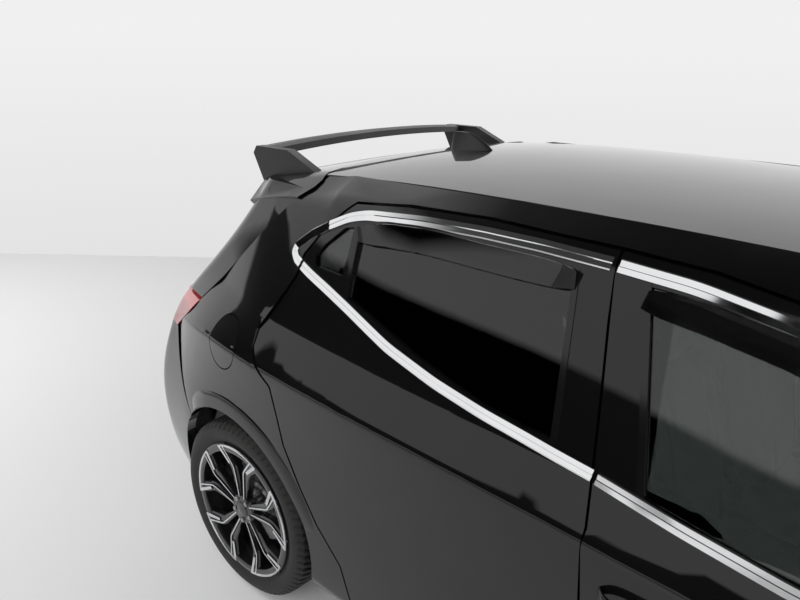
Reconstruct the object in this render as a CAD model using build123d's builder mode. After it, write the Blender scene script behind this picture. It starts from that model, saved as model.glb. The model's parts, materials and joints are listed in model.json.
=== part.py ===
"""A five-door hatchback car, rebuilt from one photograph of its rear right side.

Millimetres throughout: +X points forwards, +Y to the car's left, +Z up, and the
origin lies on the ground below the middle of the car's length and width.
The side panels are cut out of sections drawn across the car (planes of constant x),
the two ends out of outlines drawn from above (planes of constant z).
"""
from build123d import *
import os
from math import cos, radians, sin, sqrt

os.makedirs("parts", exist_ok=True)

# Whole car
length = 4050
wheelbase = 2583
front_axle = 1195
rear_axle = front_axle - wheelbase
track = 1510
hub_y = track / 2
tyre_radius = 308
tyre_width = 205
arch_radius = 361

# Panels and the gaps between them
wall = 72
roof_wall = 34
skin = 26
gap = 6
seat_gap = 0.5
bearing_gap = 0.08
glass_in = 9
glass_thick = 5
draft = 0.27
frame_in = 600

# Side surface: control points of the half section at each x, top to bottom
side_table = {
    # name: rows of (x, half width, height)
    "edge": ((-1800, 500, 1290), (-1500, 530, 1355), (-1231, 545, 1392), (-900, 548, 1403),
             (-300, 548, 1412), (300, 548, 1398), (950, 548, 1380)),
    "cant": ((-1800, 560, 1200), (-1500, 610, 1290), (-1231, 636, 1335), (-900, 652, 1350),
             (-300, 662, 1358), (300, 658, 1335), (950, 650, 1310)),
    "belt": ((-1880, 600, 1000), (-1750, 660, 1010), (-1600, 712, 1015), (-1430, 765, 1010),
             (-1200, 796, 1000), (-900, 812, 985), (-300, 824, 960), (300, 826, 945),
             (945, 800, 950), (1200, 762, 915), (1500, 748, 850), (1780, 690, 755)),
    "shoulder": ((-1880, 715, 840), (-1750, 772, 860), (-1600, 818, 880), (-1430, 852, 885),
                 (-1200, 872, 880), (-900, 882, 872), (-300, 884, 855), (300, 884, 830),
                 (945, 878, 800), (1200, 874, 785), (1500, 858, 745), (1780, 780, 690)),
    "waist": ((-1880, 770, 600), (-1750, 822, 600), (-1600, 856, 600), (-1430, 870, 600),
              (-1200, 874, 600), (-900, 872, 600), (-300, 870, 600), (300, 870, 600),
              (945, 870, 600), (1200, 872, 590), (1500, 862, 580), (1780, 800, 570)),
    "sill": ((-1880, 740, 250), (-1750, 795, 250), (-1600, 838, 250), (-1430, 858, 250),
             (-1200, 862, 250), (-900, 862, 250), (-300, 862, 250), (300, 862, 250),
             (945, 862, 250), (1200, 862, 250), (1500, 850, 250), (1780, 790, 250)),
    "foot": ((-1880, 690, 165), (-1430, 800, 165), (-900, 800, 165), (945, 800, 165),
             (1780, 730, 165)),
}
side_round = {"edge": 160, "cant": 110, "belt": 90, "shoulder": 55, "waist": 600, "sill": 60,
              "foot": 20}
side_names = list(side_table)

# Tail and nose seen from above at each height: corner x, corner y, middle x
tail_rows = (
    (165, -1850, 690, -1925), (250, -1930, 730, -1995), (420, -1962, 768, -2030),
    (560, -1965, 775, -2036), (660, -1960, 765, -2026), (815, -1945, 712, -1990),
    (935, -1880, 668, -1915), (1010, -1800, 668, -1838), (1138, -1668, 640, -1732),
    (1288, -1585, 600, -1625), (1390, -1530, 560, -1556),
)
nose_rows = (
    (165, 1790, 690, 1992), (280, 1850, 760, 2047), (430, 1868, 790, 2067),
    (560, 1860, 788, 2067), (690, 1810, 765, 2027), (770, 1740, 720, 1957),
)


def at(rows, x):
    """Value of a table at x: a cubic through its rows, with slopes from the neighbours."""
    rows = sorted(rows)
    last = len(rows) - 1
    x = min(max(x, rows[0][0]), rows[last][0])
    i = max(k for k in range(last) if rows[k][0] <= x)
    width = rows[i + 1][0] - rows[i][0]
    u = (x - rows[i][0]) / width
    found = []
    for c in range(1, len(rows[0])):
        slopes = []
        for k in (i, i + 1):
            a, b = rows[max(k - 1, 0)], rows[min(k + 1, last)]
            slopes.append((b[c] - a[c]) / (b[0] - a[0]) * width)
        p, q = rows[i][c], rows[i + 1][c]
        found.append(p * (1 + 2 * u) * (1 - u) ** 2 + q * u * u * (3 - 2 * u)
                     + slopes[0] * u * (1 - u) ** 2 - slopes[1] * u * u * (1 - u))
    return found


def half_width(x, z):
    """Half width of the side surface at a place in the side view."""
    points = [at(side_table[name], x) for name in side_names]
    for (y_top, z_top), (y_low, z_low) in zip(points, points[1:]):
        if z_low <= z <= z_top:
            return y_low + (y_top - y_low) * (z - z_low) / (z_top - z_low)
    return points[0][0] if z > points[0][1] else points[-1][0]


def shifted(points, depth):
    """An open row of points moved to its own left by depth, corners mitred."""
    normals = []
    for (ax, ay), (bx, by) in zip(points, points[1:]):
        size = sqrt((bx - ax) ** 2 + (by - ay) ** 2)
        normals.append(((ay - by) / size, (bx - ax) / size))
    moved = []
    for i, (px, py) in enumerate(points):
        a = normals[max(i - 1, 0)]
        b = normals[min(i, len(normals) - 1)]
        scale = depth / (1 + a[0] * b[0] + a[1] * b[1])
        moved.append((px + (a[0] + b[0]) * scale, py + (a[1] + b[1]) * scale))
    return moved


def grown(points, size):
    """A closed counter-clockwise outline moved outwards by size, corners mitred."""
    ring = [points[-1]] + list(points) + [points[0]]
    return shifted(ring, -size)[1:-1]


def rounded(points, radii):
    """Closed outline through the points, each corner turned into a tangent arc."""
    count = len(points)
    corners = []
    for i in range(count):
        before, here, after = points[i - 1], points[i], points[(i + 1) % count]
        ux, uy = before[0] - here[0], before[1] - here[1]
        vx, vy = after[0] - here[0], after[1] - here[1]
        lu, lv = sqrt(ux * ux + uy * uy), sqrt(vx * vx + vy * vy)
        ux, uy, vx, vy = ux / lu, uy / lu, vx / lv, vy / lv
        cosine = min(max(ux * vx + uy * vy, -0.99999), 0.99999)
        half = sqrt((1 + cosine) / (1 - cosine))
        reach = min(radii[i] * half, 0.45 * lu, 0.45 * lv)
        bx, by = ux + vx, uy + vy
        size = sqrt(bx * bx + by * by)
        middle = reach / half * (sqrt(1 + half * half) - 1)
        corners.append((
            (here[0] + ux * reach, here[1] + uy * reach),
            (here[0] + bx / size * middle, here[1] + by / size * middle),
            (here[0] + vx * reach, here[1] + vy * reach),
        ))
    for i in range(count):
        ThreePointArc(*corners[i])
        Line(corners[i][2], corners[(i + 1) % count][0])


def ribbon(points, radii, outer, inner):
    """Closed outline of a strip that follows the points between two depths."""
    out_row = shifted(points, outer)
    in_row = shifted(points, inner)
    rounded(out_row + in_row[::-1], list(radii) + list(radii)[::-1])


def side_panel(stations, top, low, outer, inner):
    """Strip of the right side wall, lofted through sections across the car."""
    names = side_names[side_names.index(top):side_names.index(low) + 1]
    sections = []
    for x in stations:
        points = [(-y, z) for y, z in (at(side_table[name], x) for name in names)]
        radii = [side_round[name] for name in names]
        radii[0] = radii[-1] = 1
        with BuildSketch(Plane(origin=(x, 0, 0), x_dir=(0, 1, 0), z_dir=(1, 0, 0))) as section:
            with BuildLine():
                ribbon(points, radii, outer, inner)
            make_face()
        sections.append(section.sketch)
    loft(sections)


def end_panel(rows, heights, start_x, outer, inner):
    """Strip round the tail or the nose, lofted through outlines seen from above."""
    side = -1 if start_x < 0 else 1
    sections = []
    for z in heights:
        corner_x, corner_y, middle_x = at(rows, z)
        bend_x = start_x + 0.45 * (corner_x - start_x)
        right = [(start_x, half_width(start_x, z)), (bend_x, half_width(bend_x, z)),
                 (corner_x, corner_y)]
        points = [(x, -side * y) for x, y in right] + [(middle_x, 0)]
        points = points + [(x, side * y) for x, y in right[::-1]]
        radii = [1, 900, 95, 2600, 95, 900, 1]
        with BuildSketch(Plane.XY.offset(z)) as section:
            with BuildLine():
                ribbon(points, radii, outer, inner)
            make_face()
        sections.append(section.sketch)
    loft(sections)


def side_tool(points, size, mode, near=950, far=300):
    """Cut or keep what lies inside an outline in the side view, on the right side."""
    outline = grown(points, size)
    with BuildSketch(Plane.XZ.offset(far)) as section:
        Polygon(*outline, align=None)
    extrude(section.sketch, amount=near - far, mode=mode)


def drafted_tool(points, size, mode, slanted, near=950, far=450):
    """The same, its slanted points leaning forwards on the way in, as a door's rear edge."""
    outline = grown(points, size)
    planes = []
    for y in (near, far):
        row = []
        for i, (x, z) in enumerate(outline):
            lean = draft * (half_width(x, z) - y) if i in slanted else 0
            row.append((x + lean, z))
        planes.append(row)
    with BuildSketch(Plane.XZ.offset(near)) as outside:
        Polygon(*planes[0], align=None)
    with BuildSketch(Plane.XZ.offset(far)) as inside:
        Polygon(*planes[1], align=None)
    loft([outside.sketch, inside.sketch], ruled=True, mode=mode)


def mirrored(source):
    """Add the same piece for the other side of the car."""
    add(mirror(source.part, about=Plane.XZ, mode=Mode.PRIVATE))


def box(x, y, z, mode=Mode.ADD):
    """Block between two values on each axis."""
    with Locations(((x[0] + x[1]) / 2, (y[0] + y[1]) / 2, (z[0] + z[1]) / 2)):
        Box(abs(x[1] - x[0]), abs(y[1] - y[0]), abs(z[1] - z[0]), mode=mode)


def rod(start, end, radius, mode=Mode.ADD):
    """Round bar between two places."""
    a, b = Vector(*start), Vector(*end)
    with BuildSketch(Plane(origin=a, z_dir=(b - a).normalized())) as section:
        Circle(radius)
    extrude(section.sketch, amount=(b - a).length, mode=mode)


def y_disc(x, z, y, radius, mode=Mode.ADD):
    """Round block about an axis along Y between two values of y."""
    rod((x, y[0], z), (x, y[1], z), radius, mode)


# Outlines in the side view, all counter-clockwise in (x, z)
front_door_line = [
    (762, 268), (766, 620), (758, 905), (690, 990), (430, 1155), (180, 1290), (70, 1338),
    (-120, 1361), (-306, 1368), (-285, 1242), (-257, 1109), (-228, 960), (-208, 881), (-200, 722),
    (-200, 268),
]
front_door_rear = (8, 9, 10, 11, 12, 13, 14)
rear_door_line = [
    (-206, 268), (-206, 722), (-214, 881), (-234, 960), (-263, 1109), (-291, 1242), (-312, 1368),
    (-640, 1371), (-880, 1362), (-1062, 1344), (-1140, 1270), (-1196, 1190), (-1200, 1130),
    (-1240, 1050), (-1284, 968), (-1278, 925), (-1240, 888), (-1169, 847), (-1141, 760),
    (-1118, 680), (-1055, 569), (-991, 472), (-900, 380), (-860, 268),
]
rear_door_rear = tuple(range(9, 24))
front_window = [
    (668, 962), (640, 985), (420, 1120), (190, 1244), (60, 1296), (-120, 1318), (-238, 1322),
    (-214, 1242), (-168, 1068), (-134, 968), (-54, 948), (144, 934), (400, 934),
]
rear_window = [
    (-336, 1000), (-344, 1060), (-372, 1242), (-388, 1322), (-640, 1326), (-880, 1318), (-1006, 1296),
    (-996, 1180), (-985, 1124), (-856, 1092), (-707, 1052), (-518, 1012), (-400, 1000),
]
quarter_window = [
    (-1028, 1168), (-1030, 1240), (-1036, 1290), (-1068, 1284), (-1128, 1230), (-1152, 1196),
    (-1140, 1172),
]
hatch_line = [
    (-2100, 1500), (-2100, 925), (-1700, 940), (-1600, 1030), (-1456, 1184), (-1355, 1286),
    (-1277, 1354), (-1262, 1396), (-1240, 1500),
]
lamp_line = [
    (-2100, 919), (-2100, 806.5), (-1840, 806.5), (-1833, 812), (-1743, 884), (-1703, 930),
]
side_line = [
    (766, 160), (766, 910), (950, 985), (950, 1500), (-1234, 1500), (-1256, 1398), (-1271, 1357),
    (-1350, 1290), (-1451, 1188), (-1596, 1034), (-1694, 936), (-1739, 883), (-1825, 814),
    (-1640, 562), (-1388, 300), (-1388, 160),
]
bumper_line = [
    (-2100, 100), (-1560, 100), (-1560, 400), (-1648, 556), (-1832, 806), (-2100, 806),
]
wing_line = [
    (773, 246), (900, 246), (1195, 300), (1500, 470), (1640, 640), (1700, 705), (1716, 775),
    (1716, 900), (960, 976), (773, 903),
]
roof_half = 547
screen_low = (1040, 978)
screen_top = (290, 1422)
screen_bow = 105 / 620 ** 2
roof_rows = ((-1600, 1336), (-1500, 1361), (-1390, 1387), (-1231, 1413), (-900, 1433), (-300, 1440), (300, 1422),
             (500, 1390))
bonnet_rows = (
    # x, half width, edge height, middle height
    (940, 744, 948, 992), (1200, 736, 912, 958), (1500, 722, 846, 900), (1750, 672, 768, 822),
    (1930, 590, 694, 744),
)


def roof_strip(stations, outer, inner):
    """Crowned strip between the roof seams."""
    sections = []
    for x in stations:
        y, z_edge = roof_half, at(side_table["edge"], x)[1]
        z_middle = at(roof_rows, x)[0]
        with BuildSketch(Plane(origin=(x, 0, 0), x_dir=(0, 1, 0), z_dir=(1, 0, 0))) as section:
            with BuildLine():
                ThreePointArc((-y, z_edge - outer), (0, z_middle - outer), (y, z_edge - outer))
                Line((y, z_edge - outer), (y, z_edge - inner))
                ThreePointArc((y, z_edge - inner), (0, z_middle - inner), (-y, z_edge - inner))
                Line((-y, z_edge - inner), (-y, z_edge - outer))
            make_face()
        sections.append(section.sketch)
    loft(sections)


def screen_place(y, drop):
    """Lower and upper end of the windscreen's section at y, drop mm under its face."""
    back = screen_bow * y * y
    low = (screen_low[0] - back, screen_low[1])
    top = (screen_top[0] - back, screen_top[1] - 34 * (y / 620) ** 2)
    run, rise = top[0] - low[0], top[1] - low[1]
    size = sqrt(run * run + rise * rise)
    nx, nz = rise / size, -run / size
    return [(px - nx * drop, pz - nz * drop) for px, pz in (low, top)]


# Platform: floor, tunnel, rails, bulkhead, wheel wells and the two tow-eye sockets
tow_y, tow_front_z, tow_rear_z, tow_radius, tow_boss = 434, 350, 270, 8, 18
skirt_half, skirt_top = 500, 300
load_floor = 356
well = arch_radius + 5
well_wall = 7
front_well = (480, 770)
rear_well = (636, 706)
with BuildPart() as platform:
    box((-1000, 990), (-722, 722), (172, 196))
    box((-1000, 700), (-115, 115), (190, 330))
    box((-1000, -640), (-600, 600), (190, 350))
    box((-1820, -1000), (-629, 629), (330, 350))
    box((-1790, -1480), (-300, 300), (200, 340))
    box((690, 706), (-728, 728), (190, 760))
    for side in (-1, 1):
        box((690, 1840), (side * 395, side * 474), (430, 530))
        box((690, 760), (side * 395, side * 455), (190, 530))
    box((1815, 1840), (-500, 500), (230, 640))
    box((-1825, -1800), (-560, 560), (335, 520))
    box((-1860, -1780), (-tow_y - 30, -tow_y + 30), (tow_rear_z - 30, 335))
    rod((1840, -tow_y, tow_front_z), (1765, -tow_y, tow_front_z), tow_boss)
    box((-1780, -1245), (-570, 570), (340, load_floor))
    rod((1841, -tow_y, tow_front_z), (1770, -tow_y, tow_front_z), tow_radius, Mode.SUBTRACT)
    rod((-1861, -tow_y, tow_rear_z), (-1790, -tow_y, tow_rear_z), tow_radius, Mode.SUBTRACT)
    for x, (inside, outside) in ((front_axle, front_well), (rear_axle, rear_well)):
        for side in (-1, 1):
            near, far = side * (inside - well_wall), side * outside
            y_disc(x, tyre_radius, (near, far), well + well_wall)
    for x, (inside, outside) in ((front_axle, front_well), (rear_axle, rear_well)):
        for side in (-1, 1):
            y_disc(x, tyre_radius, (side * inside, side * 900), well, Mode.SUBTRACT)
            box((x - 460, x + 460), (side * inside, side * 900), (-200, 240), Mode.SUBTRACT)
            box((x - 460, x + 460), (side * (inside - 100), side * 900), (-200, 172), Mode.SUBTRACT)
    for side in (-1, 1):
        box((1140, 1250), (side * 460, side * 490), (225, 285), Mode.SUBTRACT)
        box((-1450, -1326), (side * 600, side * 645), (235, 328), Mode.SUBTRACT)
        y_disc(rear_axle, tyre_radius, (side * 560, side * 645), 60, Mode.SUBTRACT)
platform.part.label = "platform"
export_step(platform.part, "parts/platform.step")



def arch_cut(x, radius=arch_radius):
    """Wheel arch opening through the right side."""
    y_disc(x, tyre_radius, (-300, -1000), radius, Mode.SUBTRACT)


def screen_cut(drop):
    """Take away what lies in front of and above the windscreen's face, right side."""
    sections = []
    for y in (900, 700, 500):
        low, top = screen_place(y, drop)
        run, rise = top[0] - low[0], top[1] - low[1]
        far_low = (low[0] - 0.6 * run * -1, low[1] + 0.6 * rise * -1)
        far_low = (low[0] - 0.3 * run, low[1] - 0.3 * rise)
        far_top = (top[0] + 0.3 * run, top[1] + 0.3 * rise)
        with BuildSketch(Plane.XZ.offset(y)) as section:
            Polygon(far_low, (far_low[0] + 500, far_low[1]), (far_low[0] + 500, 1800),
                    (far_top[0], 1800), far_top, align=None)
        sections.append(section.sketch)
    loft(sections, mode=Mode.SUBTRACT)


# Side walls: sill, pillars, roof rail and rear quarter
flap_x, flap_z, flap_radius = -1430, 890, 76
with BuildPart() as quarter_right:
    side_panel((-1870, -1740, -1600, -1430, -1150), "edge", "foot", 0, wall)
    side_tool(side_line, 0, Mode.INTERSECT)
    drafted_tool(rear_door_line, gap, Mode.SUBTRACT, rear_door_rear, far=frame_in - gap)
    arch_cut(rear_axle)
with BuildPart() as side_wall:
    side_panel((-1150, -700, -200, 350, 950), "edge", "foot", 0, wall)
    side_tool(side_line, 0, Mode.INTERSECT)
    drafted_tool(front_door_line, gap, Mode.SUBTRACT, front_door_rear, far=frame_in - gap)
    drafted_tool(rear_door_line, gap, Mode.SUBTRACT, rear_door_rear, far=frame_in - gap)
    screen_cut(2 + glass_thick + 0.05)
    arch_cut(rear_axle)
    add(quarter_right.part)
    box((-900, 680), (-775, -722), (174, 194))
    # Posts behind the door edges: hinge post and middle pillar
    box((776, 812), (-800, -745), (165, 825))
    box((776, 812), (-770, -735), (165, 935))
    box((-1300, 1000), (-roof_half, -400), (1300, 1500), Mode.SUBTRACT)
    rod((-205, -756, 180), (-205, -722, 900), 28)
    rod((-205, -722, 900), (-270, -574, 1250), 20)
    rod((-270, -574, 1250), (-290, -566, 1350), 20)

# Front wings
with BuildPart() as wing_right:
    side_panel((760, 1000, 1250, 1500, 1770), "belt", "sill", 0, skin)
    side_tool(wing_line, 0, Mode.INTERSECT)
    arch_cut(front_axle)
    box((790, 812), (-848, -800), (480, 520))
wing_right.part.label = "wing_right"
export_step(wing_right.part, "parts/wing_right.step")

with BuildPart() as wing_left:
    mirrored(wing_right)
wing_left.part.label = "wing_left"
export_step(wing_left.part, "parts/wing_left.step")

# Roof between the seams, its front edge bowed like the windscreen
roof_front = screen_top[0] - gap
with BuildPart() as roof:
    roof_strip((-1400, -1000, -500, 0, 330), 0, roof_wall)
    with BuildSketch(Plane.XY) as plan:
        with BuildLine():
            ThreePointArc((roof_front - 100, -600), (roof_front, 0), (roof_front - 100, 600))
            Line((roof_front - 100, 600), (-1250, 600))
            ThreePointArc((-1250, 600), (-1384, 0), (-1250, -600))
            Line((-1250, -600), (roof_front - 100, -600))
        make_face()
    extrude(plan.sketch, amount=1600, mode=Mode.INTERSECT)
roof.part.label = "roof"
export_step(roof.part, "parts/roof.step")

# Windscreen: one bowed pane lying on the pillars
with BuildPart() as windscreen:
    sections = []
    for y in (-800, -400, 0, 400, 800):
        low, top = screen_place(y, 2)
        deep_low, deep_top = screen_place(y, 2 + glass_thick)
        with BuildSketch(Plane.XZ.offset(-y)) as section:
            Polygon(low, top, deep_top, deep_low, align=None)
        sections.append(section.sketch)
    loft(sections)
    with BuildSketch(Plane.YZ) as front:
        Polygon((-742, 940), (742, 940), (610, 1500), (-610, 1500), align=None)
    extrude(front.sketch, amount=1300, mode=Mode.INTERSECT)
windscreen.part.label = "windscreen"
export_step(windscreen.part, "parts/windscreen.step")

# Doors: a whole wall thick, the window cut through, the rear edge drafted for the swing
with BuildPart() as front_door_right:
    side_panel((770, 450, 100, -320), "edge", "sill", 0, wall)
    drafted_tool(front_door_line, 0, Mode.INTERSECT, front_door_rear, far=frame_in)
    side_tool(front_window, 0, Mode.SUBTRACT)
front_door_right.part.label = "front_door_right"
export_step(front_door_right.part, "parts/front_door_right.step")

with BuildPart() as front_door_left:
    mirrored(front_door_right)
front_door_left.part.label = "front_door_left"
export_step(front_door_left.part, "parts/front_door_left.step")

with BuildPart() as rear_door_right:
    side_panel((-195, -560, -920, -1290), "edge", "sill", 0, wall)
    drafted_tool(rear_door_line, 0, Mode.INTERSECT, rear_door_rear, far=frame_in)
    side_tool(rear_window, 0, Mode.SUBTRACT)
    side_tool(quarter_window, 0, Mode.SUBTRACT)
rear_door_right.part.label = "rear_door_right"
export_step(rear_door_right.part, "parts/rear_door_right.step")

with BuildPart() as rear_door_left:
    mirrored(rear_door_right)
rear_door_left.part.label = "rear_door_left"
export_step(rear_door_left.part, "parts/rear_door_left.step")

# Side walls again: the hinge lugs meet the doors, and the right one gets the flap's pocket
with BuildPart() as flap_pocket:
    side_panel((-1560, -1430, -1300), "belt", "waist", -60, 30)
    y_disc(flap_x, flap_z, (-300, -1000), flap_radius + 4, Mode.INTERSECT)

with BuildPart() as hinge_lugs:
    for z in (400, 760):
        box((735, 800), (-812, -765), (z, z + 40))
        box((-250, -205), (-812, -740), (z, z + 40))
    add(front_door_right.part, mode=Mode.SUBTRACT)
    add(rear_door_right.part, mode=Mode.SUBTRACT)

with BuildPart() as both_sides:
    add(side_wall.part)
    for lug in hinge_lugs.part.solids():
        if lug.bounding_box().max.Y > -760 or lug.bounding_box().max.X > 790:
            add(lug)

with BuildPart() as body_side_right:
    add(both_sides.part)
    add(flap_pocket.part, mode=Mode.SUBTRACT)
body_side_right.part.label = "body_side_right"
export_step(body_side_right.part, "parts/body_side_right.step")

with BuildPart() as body_side_left:
    mirrored(both_sides)
body_side_left.part.label = "body_side_left"
export_step(body_side_left.part, "parts/body_side_left.step")


# Door glasses
with BuildPart() as front_glass_right:
    side_panel((700, 400, 100, -260), "edge", "shoulder", glass_in, glass_in + glass_thick)
    side_tool(front_window, -seat_gap, Mode.INTERSECT)
front_glass_right.part.label = "front_glass_right"
export_step(front_glass_right.part, "parts/front_glass_right.step")

with BuildPart() as front_glass_left:
    mirrored(front_glass_right)
front_glass_left.part.label = "front_glass_left"
export_step(front_glass_left.part, "parts/front_glass_left.step")

with BuildPart() as rear_glass_right:
    side_panel((-320, -560, -820, -1160), "edge", "shoulder", glass_in, glass_in + glass_thick)
    side_tool(rear_window, -seat_gap, Mode.INTERSECT)
with BuildPart() as quarter_glass:
    side_panel((-320, -560, -820, -1160), "edge", "shoulder", glass_in, glass_in + glass_thick)
    side_tool(quarter_window, -seat_gap, Mode.INTERSECT)
with BuildPart() as rear_glasses_right:
    add(rear_glass_right.part)
    add(quarter_glass.part)
rear_glasses_right.part.label = "rear_glasses_right"
export_step(rear_glasses_right.part, "parts/rear_glasses_right.step")

with BuildPart() as rear_glasses_left:
    mirrored(rear_glasses_right)
rear_glasses_left.part.label = "rear_glasses_left"
export_step(rear_glasses_left.part, "parts/rear_glasses_left.step")

# Bonnet
with BuildPart() as bonnet:
    sections = []
    for x in (955, 1250, 1550, 1800, 1925):
        width, z_edge, z_middle = at(bonnet_rows, x)
        with BuildSketch(Plane(origin=(x, 0, 0), x_dir=(0, 1, 0), z_dir=(1, 0, 0))) as section:
            with BuildLine():
                ThreePointArc((-width, z_edge), (0, z_middle), (width, z_edge))
                Line((width, z_edge), (width, z_edge - skin))
                ThreePointArc((width, z_edge - skin), (0, z_middle - skin), (-width, z_edge - skin))
                Line((-width, z_edge - skin), (-width, z_edge))
            make_face()
        sections.append(section.sketch)
    loft(sections)
    with BuildSketch(Plane.XY) as plan:
        with BuildLine():
            ThreePointArc((965, -900), (1068, 0), (965, 900))
            Line((965, 900), (1690, 900))
            ThreePointArc((1690, 900), (1918, 0), (1690, -900))
            Line((1690, -900), (965, -900))
        make_face()
    extrude(plan.sketch, amount=1100, mode=Mode.INTERSECT)
bonnet.part.label = "bonnet"
export_step(bonnet.part, "parts/bonnet.step")

# Tailgate: a crowned top and one shell round the corners, cut by the side gap and the lamps
rear_screen_line = [(-560, 1012), (560, 1012), (600, 1060), (470, 1300), (-470, 1300), (-600, 1060)]
lid_wall = 45
lid_half = 545
lid_low = 668
with BuildPart() as tailgate_space:
    with BuildSketch(Plane.XZ.offset(-950)) as side:
        Polygon(*hatch_line, align=None)
    extrude(side.sketch, amount=1900)
    box((-2100, -1700), (-lid_half, lid_half), (lid_low, 960))
with BuildPart() as tailgate:
    end_panel(tail_rows, (1345, 1200, 1040, 880, 650), -1180, 0, lid_wall)
    with BuildPart() as tailgate_top:
        sections = []
        for x in (-1230, -1350, -1470, -1586):
            cant, edge = at(side_table["cant"], x), at(side_table["edge"], x)
            middle = (0, at(roof_rows, x)[0])
            points = [(cant[0], cant[1]), (edge[0], edge[1]), middle, (-edge[0], edge[1]),
                      (-cant[0], cant[1])]
            with BuildSketch(Plane(origin=(x, 0, 0), x_dir=(0, 1, 0), z_dir=(1, 0, 0))) as section:
                with BuildLine():
                    ribbon(points, [1, 90, 3000, 90, 1], 0, roof_wall)
                make_face()
            sections.append(section.sketch)
        loft(sections)
        with BuildSketch(Plane.XY) as plan:
            with BuildLine():
                ThreePointArc((-1256, 600), (-1390, 0), (-1256, -600))
                Line((-1256, -600), (-1256, -800))
                Line((-1256, -800), (-1700, -800))
                Line((-1700, -800), (-1700, 800))
                Line((-1700, 800), (-1256, 800))
                Line((-1256, 800), (-1256, 600))
            make_face()
        extrude(plan.sketch, amount=1600, mode=Mode.INTERSECT)
    add(tailgate_space.part, mode=Mode.INTERSECT)
    with BuildSketch(Plane.YZ.offset(-2100)) as rear:
        Polygon(*rear_screen_line, align=None)
    extrude(rear.sketch, amount=700, mode=Mode.SUBTRACT)
tailgate.part.label = "tailgate"
export_step(tailgate.part, "parts/tailgate.step")

with BuildPart() as rear_screen:
    end_panel(tail_rows, (1345, 1200, 1040, 980), -1180, 5, 10)
    with BuildSketch(Plane.YZ.offset(-2100)) as rear:
        Polygon(*grown(rear_screen_line, -seat_gap), align=None)
    extrude(rear.sketch, amount=700, mode=Mode.INTERSECT)
rear_screen.part.label = "rear_screen"
export_step(rear_screen.part, "parts/rear_screen.step")

# Spoiler: an arched blade between two upright end plates
plate_in, plate_out = 489, 521
with BuildPart() as spoiler:
    sections = []
    for y in (-plate_in - 5, 0, plate_in + 5):
        lift = 18 * (1 - (y / plate_in) ** 2)
        with BuildSketch(Plane.XZ.offset(y)) as section:
            Polygon((-1560, 1404 + lift), (-1572, 1424 + lift), (-1600, 1430 + lift),
                    (-1668, 1420 + lift), (-1668, 1412 + lift), align=None)
        sections.append(section.sketch)
    loft(sections)
    for y in (-plate_out, plate_in):
        with BuildSketch(Plane.XZ.offset(-y)) as section:
            Polygon((-1328, 1366), (-1484, 1430), (-1640, 1428), (-1656, 1404), (-1600, 1304),
                    (-1440, 1316), align=None)
        extrude(section.sketch, amount=-(plate_out - plate_in))
    add(tailgate.part, mode=Mode.SUBTRACT)
    add(spoiler.part.solids().sort_by(SortBy.VOLUME)[-1], mode=Mode.REPLACE)
spoiler.part.label = "spoiler"
export_step(spoiler.part, "parts/spoiler.step")

# Rear bumper: outlines seen from above, cut by the arches
bumper_wall = 32
with BuildPart() as rear_bumper:
    end_panel(tail_rows, (815, 690, 560, 420, 290, 170), -1440, 0, bumper_wall)
    with BuildSketch(Plane.XZ.offset(-950)) as side:
        Polygon(*bumper_line, align=None)
    extrude(side.sketch, amount=1900, mode=Mode.INTERSECT)
    box((-2100, -1700), (-lid_half - gap, lid_half + gap), (lid_low - gap, 900), Mode.SUBTRACT)
    y_disc(rear_axle, tyre_radius, (-1000, 1000), arch_radius, Mode.SUBTRACT)
    box((-2100, -1700), (-skirt_half, skirt_half), (100, skirt_top), Mode.SUBTRACT)
    for side in (-1, 1):
        box((-1998, -1825), (side * 300, side * 340), (380, 420))
rear_bumper.part.label = "rear_bumper"
export_step(rear_bumper.part, "parts/rear_bumper.step")

# Tail lamps: the corner pieces between quarter, tailgate and bumper
lamp_deep = 60
with BuildPart() as tail_lamps:
    end_panel(tail_rows, (940, 870, 805), -1500, 0, lamp_deep)
    with BuildSketch(Plane.XZ.offset(-950)) as side:
        Polygon(*lamp_line, align=None)
    extrude(side.sketch, amount=1900, mode=Mode.INTERSECT)
    box((-2100, -1600), (-lid_half - gap, lid_half + gap), (700, 1000), Mode.SUBTRACT)
tail_lamps.part.label = "tail_lamps"
export_step(tail_lamps.part, "parts/tail_lamps.step")

# Nose: bumper, lower and upper grille, headlamps
lamp_front_line = [(1656, 645), (2100, 645), (2100, 658), (1900, 682), (1800, 706), (1722, 730),
                   (1718, 700)]
with BuildPart() as front_bumper:
    end_panel(nose_rows, (646, 560, 430, 280, 170), 1500, 0, bumper_wall)
    with BuildSketch(Plane.XZ.offset(-950)) as side:
        Polygon((1500, 100), (2100, 100), (2100, 645), (1652, 645), (1506, 466), align=None)
    extrude(side.sketch, amount=1900, mode=Mode.INTERSECT)
    y_disc(front_axle, tyre_radius, (-1000, 1000), arch_radius, Mode.SUBTRACT)
    with BuildSketch(Plane.YZ.offset(1860)) as front:
        Polygon((-430, 220), (430, 220), (520, 420), (-520, 420), align=None)
    extrude(front.sketch, amount=300, mode=Mode.SUBTRACT)
    for side in (-1, 1):
        box((1840, 1975), (side * 415, side * 455), (505, 525))
front_bumper.part.label = "front_bumper"
export_step(front_bumper.part, "parts/front_bumper.step")

with BuildPart() as headlamps:
    end_panel(nose_rows, (775, 710, 640), 1560, 0, lamp_deep)
    with BuildSketch(Plane.XZ.offset(-950)) as side:
        Polygon(*lamp_front_line, align=None)
    extrude(side.sketch, amount=1900, mode=Mode.INTERSECT)
    box((1600, 2100), (-420, 420), (600, 900), Mode.SUBTRACT)
headlamps.part.label = "headlamps"
export_step(headlamps.part, "parts/headlamps.step")

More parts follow.
